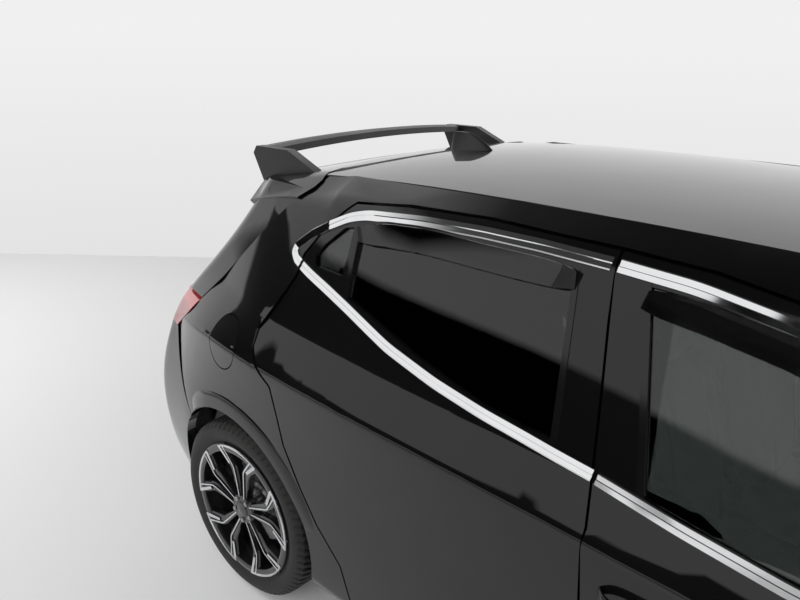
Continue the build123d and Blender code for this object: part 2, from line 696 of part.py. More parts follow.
with BuildPart() as grille:
    box((1895, 1908), (-412, 412), (652, 684))
    box((1840, 1900), (-412, 412), (610, 660))
    for k in range(5):
        box((1906, 1921), (-404, 404), (240 + 38 * k, 252 + 38 * k))
    for k in range(-3, 4):
        box((1892, 1908), (120 * k - 8, 120 * k + 8), (236, 410))
    box((1840, 1900), (-60, 60), (395, 612))
grille.part.label = "grille"
export_step(grille.part, "parts/grille.step")

# Scuttle with the wiper arms
with BuildPart() as scuttle:
    box((905, 985), (-640, 640), (905, 917))
    box((690, 930), (-640, 640), (760, 772))
    box((914, 930), (-640, 640), (760, 906))
    for side in (-1, 1):
        box((960, 1052), (side * 560, side * 600), (905, 917))
        box((1036, 1052), (side * 560, side * 600), (905, 934))
        box((905, 985), (side * 640, side * 700), (890, 902))
    box((930, 965), (-640, 640), (880, 906))
    rod((950, 250, 900), (950, 250, 932), 12)
    rod((950, -350, 900), (950, -350, 932), 12)
    add(bonnet.part, mode=Mode.SUBTRACT)
scuttle.part.label = "scuttle"
export_step(scuttle.part, "parts/scuttle.step")

# Engine and gearbox as one plain block on the front frame
with BuildPart() as engine:
    box((1050, 1540), (-390, 390), (300, 780))
engine.part.label = "engine"
export_step(engine.part, "parts/engine.step")

with BuildPart() as exhaust:
    rod((1000, 210, 140), (-1350, 210, 140), 25)
    rod((-1600, -240, 148), (-1600, 330, 148), 46)
    rod((-1350, 210, 140), (-1600, 210, 148), 25)
    box((-700, -680), (200, 220), (150, 172))
    box((-1610, -1590), (-20, 20), (180, 200))
exhaust.part.label = "exhaust"
export_step(exhaust.part, "parts/exhaust.step")

# Front frame with the lower arms and their ball pins
pin_y = hub_y - 30
arm_end = pin_y + 14
pin_radius = 11
with BuildPart() as front_frame:
    box((1080, 1330), (-440, 440), (225, 290))
    for side in (-1, 1):
        box((1180, 1220), (side * 400, side * 440), (285, 430))
        box((1150, 1210), (side * 160, side * 220), (285, 300))
        box((1150, 1240), (side * 430, side * 560), (235, 275))
        box((1170, 1220), (side * 550, side * 640), (180, 262))
        box((1172, 1218), (side * 600, side * arm_end), (176, 198))
        rod((front_axle, side * pin_y, 176), (front_axle, side * pin_y, 232), pin_radius)
front_frame.part.label = "front_frame"
export_step(front_frame.part, "parts/front_frame.step")

# Struts: tube, upper mount and the bracket that holds the upper ball pin
with BuildPart() as struts:
    for side in (-1, 1):
        rod((front_axle, side * 575, 440), (front_axle, side * 575, 660), 27)
        rod((front_axle, side * 575, 650), (front_axle, side * 575, 673.8), 10)
        rod((front_axle, side * 575, 640), (front_axle, side * 575, 660), 70)
        box((1172, 1218), (side * 560, side * arm_end), (436, 458))
        rod((front_axle, side * pin_y, 384), (front_axle, side * pin_y, 440), pin_radius)
struts.part.label = "struts"
export_step(struts.part, "parts/struts.step")

# Knuckles: an upright between the two ball pins, with the stub axle
spindle = 24
with BuildPart() as knuckle_right:
    box((front_axle - 28, front_axle + 28), (-pin_y - 26, -pin_y + 26), (205, 411))
    y_disc(front_axle, tyre_radius, (-pin_y, -hub_y - 40), spindle)
    rod((front_axle, -pin_y, 100), (front_axle, -pin_y, 237), pin_radius + bearing_gap,
        Mode.SUBTRACT)
    rod((front_axle, -pin_y, 379), (front_axle, -pin_y, 500), pin_radius + bearing_gap,
        Mode.SUBTRACT)
knuckle_right.part.label = "knuckle_right"
export_step(knuckle_right.part, "parts/knuckle_right.step")

with BuildPart() as knuckle_left:
    mirrored(knuckle_right)
knuckle_left.part.label = "knuckle_left"
export_step(knuckle_left.part, "parts/knuckle_left.step")

with BuildPart() as rear_beam:
    rod((-1150, -560, 250), (-1150, 560, 250), 38)
    for side in (-1, 1):
        box((-1440, -1000), (side * 545, side * 600), (222, 290))
        box((-1430, -1346), (side * 590, side * 680), (250, 318))
        y_disc(rear_axle, tyre_radius, (side * 600, side * (hub_y + 40)), spindle)
rear_beam.part.label = "rear_beam"
export_step(rear_beam.part, "parts/rear_beam.step")

# Seats, dashboard and steering wheel
with BuildPart() as front_seats:
    for side in (-1, 1):
        box((-180, 330), (side * 130, side * 600), (330, 470))
        box((-120, 280), (side * 220, side * 540), (196, 335))
        with BuildSketch(Plane.XZ.offset(-side * 140)) as section:
            Polygon((-60, 440), (-190, 440), (-360, 1050), (-345, 1190), (-265, 1190), (-235, 1050),
                    align=None)
        extrude(section.sketch, amount=-side * 440)
front_seats.part.label = "front_seats"
export_step(front_seats.part, "parts/front_seats.step")

with BuildPart() as rear_bench:
    box((-1080, -620), (-600, 600), (350, 480))
    with BuildSketch(Plane.XZ.offset(-600)) as section:
        Polygon((-960, 450), (-1080, 450), (-1220, 960), (-1205, 1060), (-1130, 1060), (-1100, 960),
                align=None)
    extrude(section.sketch, amount=1200)
rear_bench.part.label = "rear_bench"
export_step(rear_bench.part, "parts/rear_bench.step")

wheel_side = 370
shaft = 9
column = (Vector(330, wheel_side, 845) - Vector(470, wheel_side, 790)).normalized()
with BuildPart() as dashboard:
    with BuildSketch(Plane.XZ.offset(-690)) as section:
        Polygon((690, 640), (690, 885), (600, 915), (470, 890), (430, 790), (500, 640), align=None)
    extrude(section.sketch, amount=1380)
    rod((470, wheel_side, 790), (330, wheel_side, 845), 28)
    rod((330, wheel_side, 845), Vector(330, wheel_side, 845) + column * 24, shaft)
dashboard.part.label = "dashboard"
export_step(dashboard.part, "parts/dashboard.step")

with BuildPart() as steering_wheel:
    hub_at = Vector(330, wheel_side, 845) + column * 6
    with Locations(Plane(origin=hub_at + column * 14, z_dir=column)):
        Torus(178, 15)
        Cylinder(44, 28)
        for turn in (90, 210, 330):
            with Locations(Rotation(0, 0, turn)):
                with Locations((100, 0, 0)):
                    Box(150, 30, 12)
        with Locations((0, 0, -8)):
            Cylinder(shaft + bearing_gap, 28, mode=Mode.SUBTRACT)
steering_wheel.part.label = "steering_wheel"
export_step(steering_wheel.part, "parts/steering_wheel.step")

# Aerial fin on the roof
with BuildPart() as aerial_fin:
    sections = []
    for z, front, rear, half in ((1412, -1052, -1236, 26), (1440, -1085, -1232, 15),
                                 (1474, -1160, -1226, 5)):
        with BuildSketch(Plane.XY.offset(z)) as section:
            with Locations(((front + rear) / 2, 0)):
                Ellipse((front - rear) / 2, half)
        sections.append(section.sketch)
    loft(sections)
    add(roof.part, mode=Mode.SUBTRACT)
    add(aerial_fin.part.solids().sort_by(SortBy.VOLUME)[-1], mode=Mode.REPLACE)
aerial_fin.part.label = "aerial_fin"
export_step(aerial_fin.part, "parts/aerial_fin.step")

# Door mirrors
with BuildPart() as mirror_right:
    with BuildSketch(Plane.XZ.offset(865)) as section:
        RectangleRounded(96, 110, 24)
    with BuildSketch(Plane.XZ.offset(994)) as tip:
        RectangleRounded(76, 76, 24)
    with Locations((628, 0, 1035)):
        add(loft([section.sketch, tip.sketch], mode=Mode.PRIVATE))
    box((612, 652), (-880, -785), (985, 1008))
    add(front_door_right.part, mode=Mode.SUBTRACT)
    add(front_glass_right.part, mode=Mode.SUBTRACT)
    add(mirror_right.part.solids().sort_by(SortBy.VOLUME)[-1], mode=Mode.REPLACE)
mirror_right.part.label = "mirror_right"
export_step(mirror_right.part, "parts/mirror_right.step")

with BuildPart() as mirror_left:
    mirrored(mirror_right)
mirror_left.part.label = "mirror_left"
export_step(mirror_left.part, "parts/mirror_left.step")

# Fuel flap: a round piece of the right rear quarter
with BuildPart() as fuel_flap:
    side_panel((-1530, -1430, -1330), "belt", "waist", 0, 8)
    y_disc(flap_x, flap_z, (-300, -1000), flap_radius, Mode.INTERSECT)
    box((-1376, -1363), (-852, -815), (880, 900))
    add(body_side_right.part, mode=Mode.SUBTRACT)
    add(fuel_flap.part.solids().sort_by(SortBy.VOLUME)[-1], mode=Mode.REPLACE)
fuel_flap.part.label = "fuel_flap"
export_step(fuel_flap.part, "parts/fuel_flap.step")

# Wheels: drawn once at the front right, then moved and mirrored
rim_half = 98
rim_in, rim_out, flange = 205, 216, 232
spoke_half = [(46, 4), (128, 13), (204, 48), (202, 65), (124, 28), (46, 17)]
with BuildPart() as rim_front_right:
    with BuildSketch(Plane.YZ.offset(front_axle)) as profile:
        with Locations((-hub_y, tyre_radius)):
            Polygon((-rim_half, rim_in), (rim_half, rim_in), (rim_half, flange),
                    (rim_half - 6, flange), (rim_half - 6, rim_out), (6 - rim_half, rim_out),
                    (6 - rim_half, flange), (-rim_half, flange), align=None)
    revolve(profile.sketch, Axis((front_axle, 0, tyre_radius), (0, 1, 0)))
    for k in range(5):
        for hand in (-1, 1):
            turn = radians(72 * k + 90)
            spoke = [(r * cos(turn) - hand * s * sin(turn), r * sin(turn) + hand * s * cos(turn))
                     for r, s in spoke_half]
            with BuildSketch(Plane.XZ.offset(hub_y + 66)) as section:
                with Locations((front_axle, tyre_radius)):
                    Polygon(*spoke, align=None)
            extrude(section.sketch, amount=24)
    y_disc(front_axle, tyre_radius, (-hub_y - 3, -hub_y - 88), 60)
    y_disc(front_axle, tyre_radius, (-hub_y - 4, -hub_y - 20), 140)
    y_disc(front_axle, tyre_radius, (-hub_y, -hub_y - 44), spindle + bearing_gap, Mode.SUBTRACT)
rim_front_right.part.label = "rim_front_right"
export_step(rim_front_right.part, "parts/rim_front_right.step")

bead = rim_out + seat_gap
with BuildPart() as tyre_front_right:
    wide = tyre_width / 2
    places = [(-88, bead), (88, bead), (88, flange + 9), (wide, 268), (wide - 10, 292), (84, 302),
              (74, 305.5), (0, tyre_radius), (-74, 305.5), (-84, 302), (10 - wide, 292), (-wide, 268),
              (-88, flange + 9)]
    places = [(y - hub_y, z + tyre_radius) for y, z in places]
    with BuildSketch(Plane.YZ.offset(front_axle)) as profile:
        with BuildLine():
            Line(places[0], places[1])
            Line(places[1], places[2])
            ThreePointArc(places[2], places[3], places[4])
            ThreePointArc(places[4], places[5], places[6])
            ThreePointArc(places[6], places[7], places[8])
            ThreePointArc(places[8], places[9], places[10])
            ThreePointArc(places[10], places[11], places[12])
            Line(places[12], places[0])
        make_face()
    revolve(profile.sketch, Axis((front_axle, 0, tyre_radius), (0, 1, 0)))
tyre_front_right.part.label = "tyre_front_right"
export_step(tyre_front_right.part, "parts/tyre_front_right.step")

with BuildPart() as rim_front_left:
    mirrored(rim_front_right)
rim_front_left.part.label = "rim_front_left"
export_step(rim_front_left.part, "parts/rim_front_left.step")

with BuildPart() as tyre_front_left:
    mirrored(tyre_front_right)
tyre_front_left.part.label = "tyre_front_left"
export_step(tyre_front_left.part, "parts/tyre_front_left.step")

with BuildPart() as rim_rear_right:
    add(Pos(-wheelbase, 0, 0) * rim_front_right.part)
rim_rear_right.part.label = "rim_rear_right"
export_step(rim_rear_right.part, "parts/rim_rear_right.step")

with BuildPart() as tyre_rear_right:
    add(Pos(-wheelbase, 0, 0) * tyre_front_right.part)
tyre_rear_right.part.label = "tyre_rear_right"
export_step(tyre_rear_right.part, "parts/tyre_rear_right.step")

with BuildPart() as rim_rear_left:
    mirrored(rim_rear_right)
rim_rear_left.part.label = "rim_rear_left"
export_step(rim_rear_left.part, "parts/rim_rear_left.step")

with BuildPart() as tyre_rear_left:
    mirrored(tyre_rear_right)
tyre_rear_left.part.label = "tyre_rear_left"
export_step(tyre_rear_left.part, "parts/tyre_rear_left.step")
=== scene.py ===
# %% [markdown]
# # Dressing a small black hatchback
# The construction model gives every panel its real size and place. This lesson adds what the
# eye reads as a car: gloss paint, a bright window line, smoked wind deflectors, tyres with
# tread, machined wheels and padded seats. Lengths below are in millimetres, as a car maker
# writes them, and `MM` turns them into Blender's metres.
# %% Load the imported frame
import json
import bpy
import bmesh
import numpy as np
from mathutils import Matrix


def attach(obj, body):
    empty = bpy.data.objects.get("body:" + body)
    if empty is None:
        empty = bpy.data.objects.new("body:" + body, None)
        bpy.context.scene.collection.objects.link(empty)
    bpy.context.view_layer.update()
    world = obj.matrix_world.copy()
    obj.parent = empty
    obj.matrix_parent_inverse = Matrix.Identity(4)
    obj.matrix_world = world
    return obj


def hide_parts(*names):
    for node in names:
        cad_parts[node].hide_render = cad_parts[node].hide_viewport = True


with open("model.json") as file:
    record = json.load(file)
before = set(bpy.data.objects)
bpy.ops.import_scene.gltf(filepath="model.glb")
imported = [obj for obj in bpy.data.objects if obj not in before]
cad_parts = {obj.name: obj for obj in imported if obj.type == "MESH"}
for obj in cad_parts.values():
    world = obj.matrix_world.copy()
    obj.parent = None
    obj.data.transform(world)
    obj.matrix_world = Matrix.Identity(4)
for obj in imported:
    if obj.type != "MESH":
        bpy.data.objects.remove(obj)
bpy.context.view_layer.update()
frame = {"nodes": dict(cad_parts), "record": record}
MM = 0.001

# %% [markdown]
# ## The side surface as a formula
# All trim lies on the flank, so the flank is written once as a function of two parameters:
# place along the car and height. Seven lines run along the car (roof edge, cant rail, belt,
# shoulder, waist, sill, foot). Each is a short table, read with a cubic between its rows.
# %% Lines along the flank
FLANK = (
    # rows of x, half width, height; and the corner's radius
    (((-1800, 500, 1290), (-1500, 530, 1355), (-1231, 545, 1392), (-900, 548, 1403),
      (-300, 548, 1412), (300, 548, 1398), (950, 548, 1380)), 160),
    (((-1800, 560, 1200), (-1500, 610, 1290), (-1231, 636, 1335), (-900, 652, 1350),
      (-300, 662, 1358), (300, 658, 1335), (950, 650, 1310)), 110),
    (((-1880, 600, 1000), (-1750, 660, 1010), (-1600, 712, 1015), (-1430, 765, 1010),
      (-1200, 796, 1000), (-900, 812, 985), (-300, 824, 960), (300, 826, 945),
      (945, 800, 950), (1200, 762, 915), (1500, 748, 850), (1780, 690, 755)), 90),
    (((-1880, 715, 840), (-1750, 772, 860), (-1600, 818, 880), (-1430, 852, 885),
      (-1200, 872, 880), (-900, 882, 872), (-300, 884, 855), (300, 884, 830),
      (945, 878, 800), (1200, 874, 785), (1500, 858, 745), (1780, 780, 690)), 55),
    (((-1880, 770, 600), (-1600, 856, 600), (-1430, 870, 600), (-1200, 874, 600),
      (-900, 872, 600), (945, 870, 600), (1200, 872, 590), (1780, 800, 570)), 600),
    (((-1880, 740, 250), (-1600, 838, 250), (-1430, 858, 250), (-1200, 862, 250),
      (945, 862, 250), (1500, 850, 250), (1780, 790, 250)), 60),
    (((-1880, 690, 165), (-1430, 800, 165), (945, 800, 165), (1780, 730, 165)), 20),
)
WHEELS = {"front": 1195, "rear": -1388}
HUB_Y = 755
TYRE_R = 308


def cubic_at(rows, x):
    """Table value at x: a cubic between rows, its slopes taken from the neighbouring rows."""
    rows = np.array(rows, float)
    xs, values = rows[:, 0], rows[:, 1:]
    low = np.maximum(np.arange(len(xs)) - 1, 0)
    high = np.minimum(np.arange(len(xs)) + 1, len(xs) - 1)
    slopes = (values[high] - values[low]) / (xs[high] - xs[low])[:, None]
    x = np.clip(x, xs[0], xs[-1])
    i = np.clip(np.searchsorted(xs, x, side="right") - 1, 0, len(xs) - 2)
    width = (xs[i + 1] - xs[i])[..., None]
    u = (x[..., None] - xs[i][..., None]) / width
    return (values[i] * (1 + 2 * u) * (1 - u) ** 2 + values[i + 1] * u * u * (3 - 2 * u)
            + slopes[i] * width * u * (1 - u) ** 2 - slopes[i + 1] * width * u * u * (1 - u))


def flank_y(x, z):
    """Half width at (x, z): straight between the lines, each corner a parabola through its tangents."""
    x, z = np.broadcast_arrays(np.asarray(x, float), np.asarray(z, float))
    corners = [cubic_at(rows, x) for rows, radius in FLANK]
    y = corners[0][..., 0] + 0 * z
    for top, low in zip(corners, corners[1:]):
        share = (z - low[..., 1]) / (top[..., 1] - low[..., 1])
        y = np.where((share >= 0) & (share <= 1), low[..., 0] + share * (top[..., 0] - low[..., 0]), y)
    for k in range(1, len(corners) - 1):
        here = corners[k]
        up, down = corners[k - 1] - here, corners[k + 1] - here
        up_long = np.linalg.norm(up, axis=-1, keepdims=True)
        down_long = np.linalg.norm(down, axis=-1, keepdims=True)
        cosine = np.sum(up * down, axis=-1, keepdims=True) / (up_long * down_long)
        turn = np.pi - np.arccos(np.clip(cosine, -1, 1))
        reach = np.minimum(FLANK[k][1] * np.tan(turn / 2), 0.45 * np.minimum(up_long, down_long))
        first, last = here + up * reach / up_long, here + down * reach / down_long
        a = first[..., 1] - 2 * here[..., 1] + last[..., 1]
        b = 2 * (here[..., 1] - first[..., 1])
        c = first[..., 1] - z
        root = np.sqrt(np.maximum(b * b - 4 * a * c, 0))
        t = 2 * c / (-b + root + 1e-9)
        bend = (1 - t) ** 2 * first[..., 0] + 2 * t * (1 - t) * here[..., 0] + t * t * last[..., 0]
        y = np.where((z < first[..., 1]) & (z > last[..., 1]), bend, y)
    return y


def on_flank(x, z, lift, hand):
    """The place lift outside the flank: the surface point plus lift times its unit normal."""
    y = flank_y(x, z)
    slope_x = (flank_y(x + 2, z) - flank_y(x - 2, z)) / 4
    slope_z = (flank_y(x, z + 2) - flank_y(x, z - 2)) / 4
    steep = np.sqrt(1 + slope_x ** 2 + slope_z ** 2)
    return np.stack([x - lift * slope_x / steep, hand * (y + lift / steep), z - lift * slope_z / steep], -1)


print("half width at the waist", float(flank_y(0, 600)))

# %% [markdown]
# ## From grids to meshes
# A piece is one or more grids of points: rows along it, columns round it. One helper turns grids
# into a mesh, closes the ends with a pole, and hands it to the body that carries it.
# %% Grid helpers


def skin(points, loop=False):
    """Vertices and quads of a closed tube: columns go round, rows go along, poles close the ends."""
    rows, cols = points.shape[:2]
    index = np.arange(rows * cols).reshape(rows, cols)
    index = np.concatenate([index, index[:1]]) if loop else index
    right = np.roll(index, -1, axis=1)
    quads = np.stack([index[:-1], right[:-1], right[1:], index[1:]], -1).reshape(-1, 4)
    column = np.tile(np.arange(cols), len(index) - 1)
    verts = points.reshape(-1, 3)
    if loop:
        return verts, quads, np.zeros((0, 3), int), column
    poles = np.stack([points[0].mean(0), points[-1].mean(0)])
    start, end = len(verts), len(verts) + 1
    first = np.stack([np.full(cols, start), right[0], index[0]], -1)
    last = np.stack([np.full(cols, end), index[-1], right[-1]], -1)
    return np.concatenate([verts, poles]), quads, np.concatenate([first, last]), column


def make(name, grids, materials, body, loop=False, bright=(), sharp=32, replace=()):
    """A piece from closed grids in millimetres; the columns in bright take the second material."""
    verts, faces, marks = [], [], []
    count = 0
    for points in grids:
        v, quads, tris, column = skin(np.asarray(points, float), loop)
        verts.append(v)
        faces += (quads + count).tolist() + (tris + count).tolist()
        marks.append(np.concatenate([np.isin(column, bright), np.zeros(len(tris), bool)]))
        count += len(v)
    mesh = bpy.data.meshes.new(name)
    mesh.from_pydata(np.concatenate(verts) * MM, [], faces)
    for material in materials:
        mesh.materials.append(material)
    mesh.polygons.foreach_set("material_index", np.concatenate(marks).astype(np.int32))
    mesh.polygons.foreach_set("use_smooth", np.ones(len(faces), bool))
    work = bmesh.new()
    work.from_mesh(mesh)
    bmesh.ops.recalc_face_normals(work, faces=work.faces)
    work.to_mesh(mesh)
    work.free()
    mesh.set_sharp_from_angle(angle=np.radians(sharp))
    piece = bpy.data.objects.new(name, mesh)
    bpy.context.collection.objects.link(piece)
    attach(piece, body)
    if replace:
        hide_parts(*replace)
    return piece


def trail(points, count, soften=0):
    """count places evenly spaced along a row of points; soften evens out the corners."""
    points = np.array(points, float)
    step = np.linalg.norm(np.diff(points, axis=0), axis=1)
    far = np.concatenate([[0], np.cumsum(step)])
    s = np.linspace(0, far[-1], count)
    line = np.stack([np.interp(s, far, points[:, k]) for k in range(points.shape[1])], -1)
    for _ in range(soften):
        line[1:-1] = (line[:-2] + 2 * line[1:-1] + line[2:]) / 4
    return line


def band(path, across, lifts, hand, taper=0.0):
    """A strip on the flank: its profile (across, lift) is carried along a path in the side view."""
    run = np.gradient(path, axis=0)
    run /= np.linalg.norm(run, axis=1, keepdims=True)
    side = np.stack([-run[:, 1], run[:, 0]], -1)
    s = np.linspace(-1, 1, len(path))
    width = (1 - taper * np.abs(s) ** 8)[:, None, None]
    place = path[:, None, :] + side[:, None, :] * np.asarray(across, float)[None, :, None] * width
    return on_flank(place[..., 0], place[..., 1], np.asarray(lifts, float)[None, :] + 0 * place[..., 0], hand)


HANDS = (("right", -1), ("left", 1))
print("helpers ready")

# %% [markdown]
# ## Two effects that many finishes share
# Real surfaces are never even. `uneven` gives a slow change of shade and roughness, and `grain`
# the fine pitting of moulded plastic, rubber and cast iron. Both are node groups with named inputs,
# so each material places them with its own scale. They put out masks and heights only.
# %% Shared node groups


def new_group(name, inputs, outputs):
    """An empty shader node group with float sockets of those names."""
    group = bpy.data.node_groups.new(name, "ShaderNodeTree")
    for label, value in inputs:
        group.interface.new_socket(label, in_out="INPUT", socket_type="NodeSocketFloat").default_value = value
    for label in outputs:
        group.interface.new_socket(label, in_out="OUTPUT", socket_type="NodeSocketFloat")
    return group, group.nodes.new("NodeGroupInput"), group.nodes.new("NodeGroupOutput")


def noise(tree, vector, scale, detail):
    """A noise texture on a vector; scale is a number or a socket."""
    node = tree.nodes.new("ShaderNodeTexNoise")
    node.inputs["Detail"].default_value = detail
    tree.links.new(vector, node.inputs["Vector"])
    if hasattr(scale, "node"):
        tree.links.new(scale, node.inputs["Scale"])
    else:
        node.inputs["Scale"].default_value = scale
    return node.outputs["Fac"]


def math_node(tree, kind, a, b, clamp=False):
    """One math node; a and b are sockets or numbers."""
    node = tree.nodes.new("ShaderNodeMath")
    node.operation = kind
    node.use_clamp = clamp
    for value, socket in zip((a, b), node.inputs):
        if hasattr(value, "node"):
            tree.links.new(value, socket)
        else:
            socket.default_value = value
    return node.outputs[0]


uneven, came, left = new_group("uneven", (("Scale", 3.0), ("Low", 0.2), ("High", 0.3)), ("Mask", "Rough"))
MASK_GAIN, MASK_SHIFT = 2.2, -0.6
place = uneven.nodes.new("ShaderNodeTexCoord")
slow = noise(uneven, place.outputs["Object"], came.outputs["Scale"], 4)
mask = math_node(uneven, "MULTIPLY_ADD", slow, MASK_GAIN, True)
mask.node.inputs[2].default_value = MASK_SHIFT
spread = math_node(uneven, "SUBTRACT", came.outputs["High"], came.outputs["Low"])
rough = math_node(uneven, "ADD", math_node(uneven, "MULTIPLY", mask, spread), came.outputs["Low"])
uneven.links.new(mask, left.inputs["Mask"])
uneven.links.new(rough, left.inputs["Rough"])

grain, came, left = new_group("grain", (("Scale", 900.0), ("Coarse", 60.0)), ("Height",))
place = grain.nodes.new("ShaderNodeTexCoord")
cells = grain.nodes.new("ShaderNodeTexVoronoi")
grain.links.new(place.outputs["Object"], cells.inputs["Vector"])
grain.links.new(came.outputs["Scale"], cells.inputs["Scale"])
wide = noise(grain, place.outputs["Object"], came.outputs["Coarse"], 3)
grain.links.new(math_node(grain, "ADD", cells.outputs["Distance"], wide), left.inputs["Height"])
print("groups", [g.name for g in bpy.data.node_groups])

# %% [markdown]
# ## A finish from a few numbers
# Every finish is one Principled shader. Two shades are mixed by the slow mask, roughness runs
# between two values, and grain feeds a bump. What is constant is set on the shader's own socket.
# %% The finish helper


BUMP_DEPTH = 0.0006


def finish(name, dark, pale, low, high, scale=3.0, bump=0.0, pits=900.0, **fixed):
    """A Principled material between two shades and two roughnesses, with grain as bump."""
    material = bpy.data.materials.new(name)
    material.use_nodes = True
    tree = material.node_tree
    shader = tree.nodes["Principled BSDF"]
    group = tree.nodes.new("ShaderNodeGroup")
    group.node_tree = uneven
    group.inputs["Scale"].default_value = scale
    group.inputs["Low"].default_value = low
    group.inputs["High"].default_value = high
    mix = tree.nodes.new("ShaderNodeMix")
    mix.data_type = "RGBA"
    mix.inputs["A"].default_value = (*dark, 1)
    mix.inputs["B"].default_value = (*pale, 1)
    tree.links.new(group.outputs["Mask"], mix.inputs["Factor"])
    tree.links.new(mix.outputs["Result"], shader.inputs["Base Color"])
    tree.links.new(group.outputs["Rough"], shader.inputs["Roughness"])
    if bump:
        pit = tree.nodes.new("ShaderNodeGroup")
        pit.node_tree = grain
        pit.inputs["Scale"].default_value = pits
        node = tree.nodes.new("ShaderNodeBump")
        node.inputs["Strength"].default_value = bump
        node.inputs["Distance"].default_value = BUMP_DEPTH
        tree.links.new(pit.outputs["Height"], node.inputs["Height"])
        tree.links.new(node.outputs["Normal"], shader.inputs["Normal"])
    for label, value in fixed.items():
        shader.inputs[label.replace("_", " ")].default_value = value
    return material


paint = finish("gloss_black_paint", (0.0022, 0.0022, 0.0025), (0.0035, 0.0035, 0.0038), 0.28, 0.36, 2.0,
               Specular_IOR_Level=0.05, Coat_Weight=1.0, Coat_Roughness=0.015, Coat_IOR=1.5)
gloss = finish("gloss_black_trim", (0.004, 0.004, 0.004), (0.007, 0.007, 0.007), 0.05, 0.1, 6.0)
satin = finish("satin_black_plastic", (0.011, 0.011, 0.012), (0.02, 0.02, 0.021), 0.3, 0.42, 5.0,
               bump=0.15, pits=1400.0)
grained = finish("grained_plastic", (0.012, 0.012, 0.012), (0.024, 0.024, 0.024), 0.5, 0.68, 8.0, bump=0.6)
chrome = finish("bright_strip", (0.86, 0.87, 0.88), (0.93, 0.93, 0.94), 0.06, 0.14, 9.0, Metallic=1.0)
machined = finish("machined_alloy", (0.66, 0.67, 0.69), (0.8, 0.8, 0.82), 0.2, 0.32, 40.0, Metallic=1.0)
cast_black = finish("gloss_black_alloy", (0.006, 0.006, 0.007), (0.012, 0.012, 0.013), 0.12, 0.2, 12.0,
                    Coat_Weight=0.6, Coat_Roughness=0.05)
rubber = finish("tyre_rubber", (0.011, 0.011, 0.011), (0.024, 0.023, 0.022), 0.55, 0.75, 14.0, bump=0.5)
steel = finish("brushed_steel", (0.33, 0.33, 0.34), (0.5, 0.5, 0.51), 0.25, 0.42, 30.0, Metallic=1.0)
iron = finish("coated_iron", (0.018, 0.018, 0.019), (0.05, 0.048, 0.046), 0.5, 0.75, 7.0,
              bump=0.7, pits=350.0)
cloth = finish("seat_cloth", (0.02, 0.02, 0.022), (0.045, 0.045, 0.048), 0.8, 0.95, 20.0, bump=1.0,
               pits=700.0, Sheen_Weight=0.3)


def pane(name, tint, low, high):
    """Tinted glass: a thin slab whose tint takes most of the light, with a clear reflection."""
    return finish(name, tint, tuple(1.25 * c for c in tint), low, high, 2.0, IOR=1.62,
                  Transmission_Weight=1.0)


privacy = pane("privacy_glass", (0.05, 0.053, 0.055), 0.0, 0.02)
clear = pane("green_glass", (0.13, 0.16, 0.15), 0.0, 0.01)
smoked = pane("smoked_acrylic", (0.04, 0.04, 0.042), 0.01, 0.05)
lens = pane("clear_lens", (0.85, 0.87, 0.88), 0.02, 0.06)
lamp_red = finish("red_lens", (0.16, 0.002, 0.004), (0.42, 0.008, 0.012), 0.04, 0.1, 16.0,
                  Coat_Weight=1.0, Coat_Roughness=0.02)
print("finishes", len(bpy.data.materials))

# %% [markdown]
# ### The tail lamp's layers
# The lamp shows a paler glossy upper zone, a deep red lower one and a thin light line between
# them. They follow the height, so the red is mixed by the Object coordinate's Z.
# %% Bands of the red lens
LAMP_LINE_Z = 0.884
LAMP_LINE_SHARPNESS = 60.0
tree = lamp_red.node_tree
shader = tree.nodes["Principled BSDF"]
split = tree.nodes.new("ShaderNodeSeparateXYZ")
tree.links.new(tree.nodes.new("ShaderNodeTexCoord").outputs["Object"], split.inputs[0])
above = math_node(tree, "MULTIPLY", math_node(tree, "SUBTRACT", split.outputs["Z"], LAMP_LINE_Z),
                  LAMP_LINE_SHARPNESS, True)
zone = tree.nodes.new("ShaderNodeMix")
zone.data_type = "RGBA"
zone.inputs["B"].default_value = (0.5, 0.06, 0.06, 1)
tree.links.new(above, zone.inputs["Factor"])
tree.links.new(shader.inputs["Base Color"].links[0].from_socket, zone.inputs["A"])
tree.links.new(zone.outputs["Result"], shader.inputs["Base Color"])
print("lamp bands split at", LAMP_LINE_Z)

# %% [markdown]
# ## Finishing the construction model's own panels
# A panel's slot in the record says what it is made of. Its mesh is loose triangles, so a small
# Geometry Nodes modifier merges them and shades the curves smooth, keeping edges over 30 degrees.
# %% Smooth the panels and give each its finish
CRISP_ANGLE = np.radians(30)
WELD_DISTANCE = 0.00002
smooth = bpy.data.node_groups.new("smooth_panel", "GeometryNodeTree")
smooth.interface.new_socket("Geometry", in_out="INPUT", socket_type="NodeSocketGeometry")
smooth.interface.new_socket("Geometry", in_out="OUTPUT", socket_type="NodeSocketGeometry")
came, left = smooth.nodes.new("NodeGroupInput"), smooth.nodes.new("NodeGroupOutput")
merge = smooth.nodes.new("GeometryNodeMergeByDistance")
merge.inputs["Distance"].default_value = WELD_DISTANCE
soft = smooth.nodes.new("GeometryNodeSetShadeSmooth")
crisp = smooth.nodes.new("GeometryNodeSetShadeSmooth")
crisp.domain = "EDGE"
crisp.inputs["Shade Smooth"].default_value = False
bend = smooth.nodes.new("GeometryNodeInputMeshEdgeAngle")
over = smooth.nodes.new("FunctionNodeCompare")
over.operation = "GREATER_THAN"
over.inputs["B"].default_value = CRISP_ANGLE
smooth.links.new(came.outputs[0], merge.inputs["Geometry"])
smooth.links.new(merge.outputs[0], soft.inputs["Geometry"])
smooth.links.new(soft.outputs[0], crisp.inputs["Geometry"])
smooth.links.new(bend.outputs["Unsigned Angle"], over.inputs["A"])
smooth.links.new(over.outputs[0], crisp.inputs["Selection"])
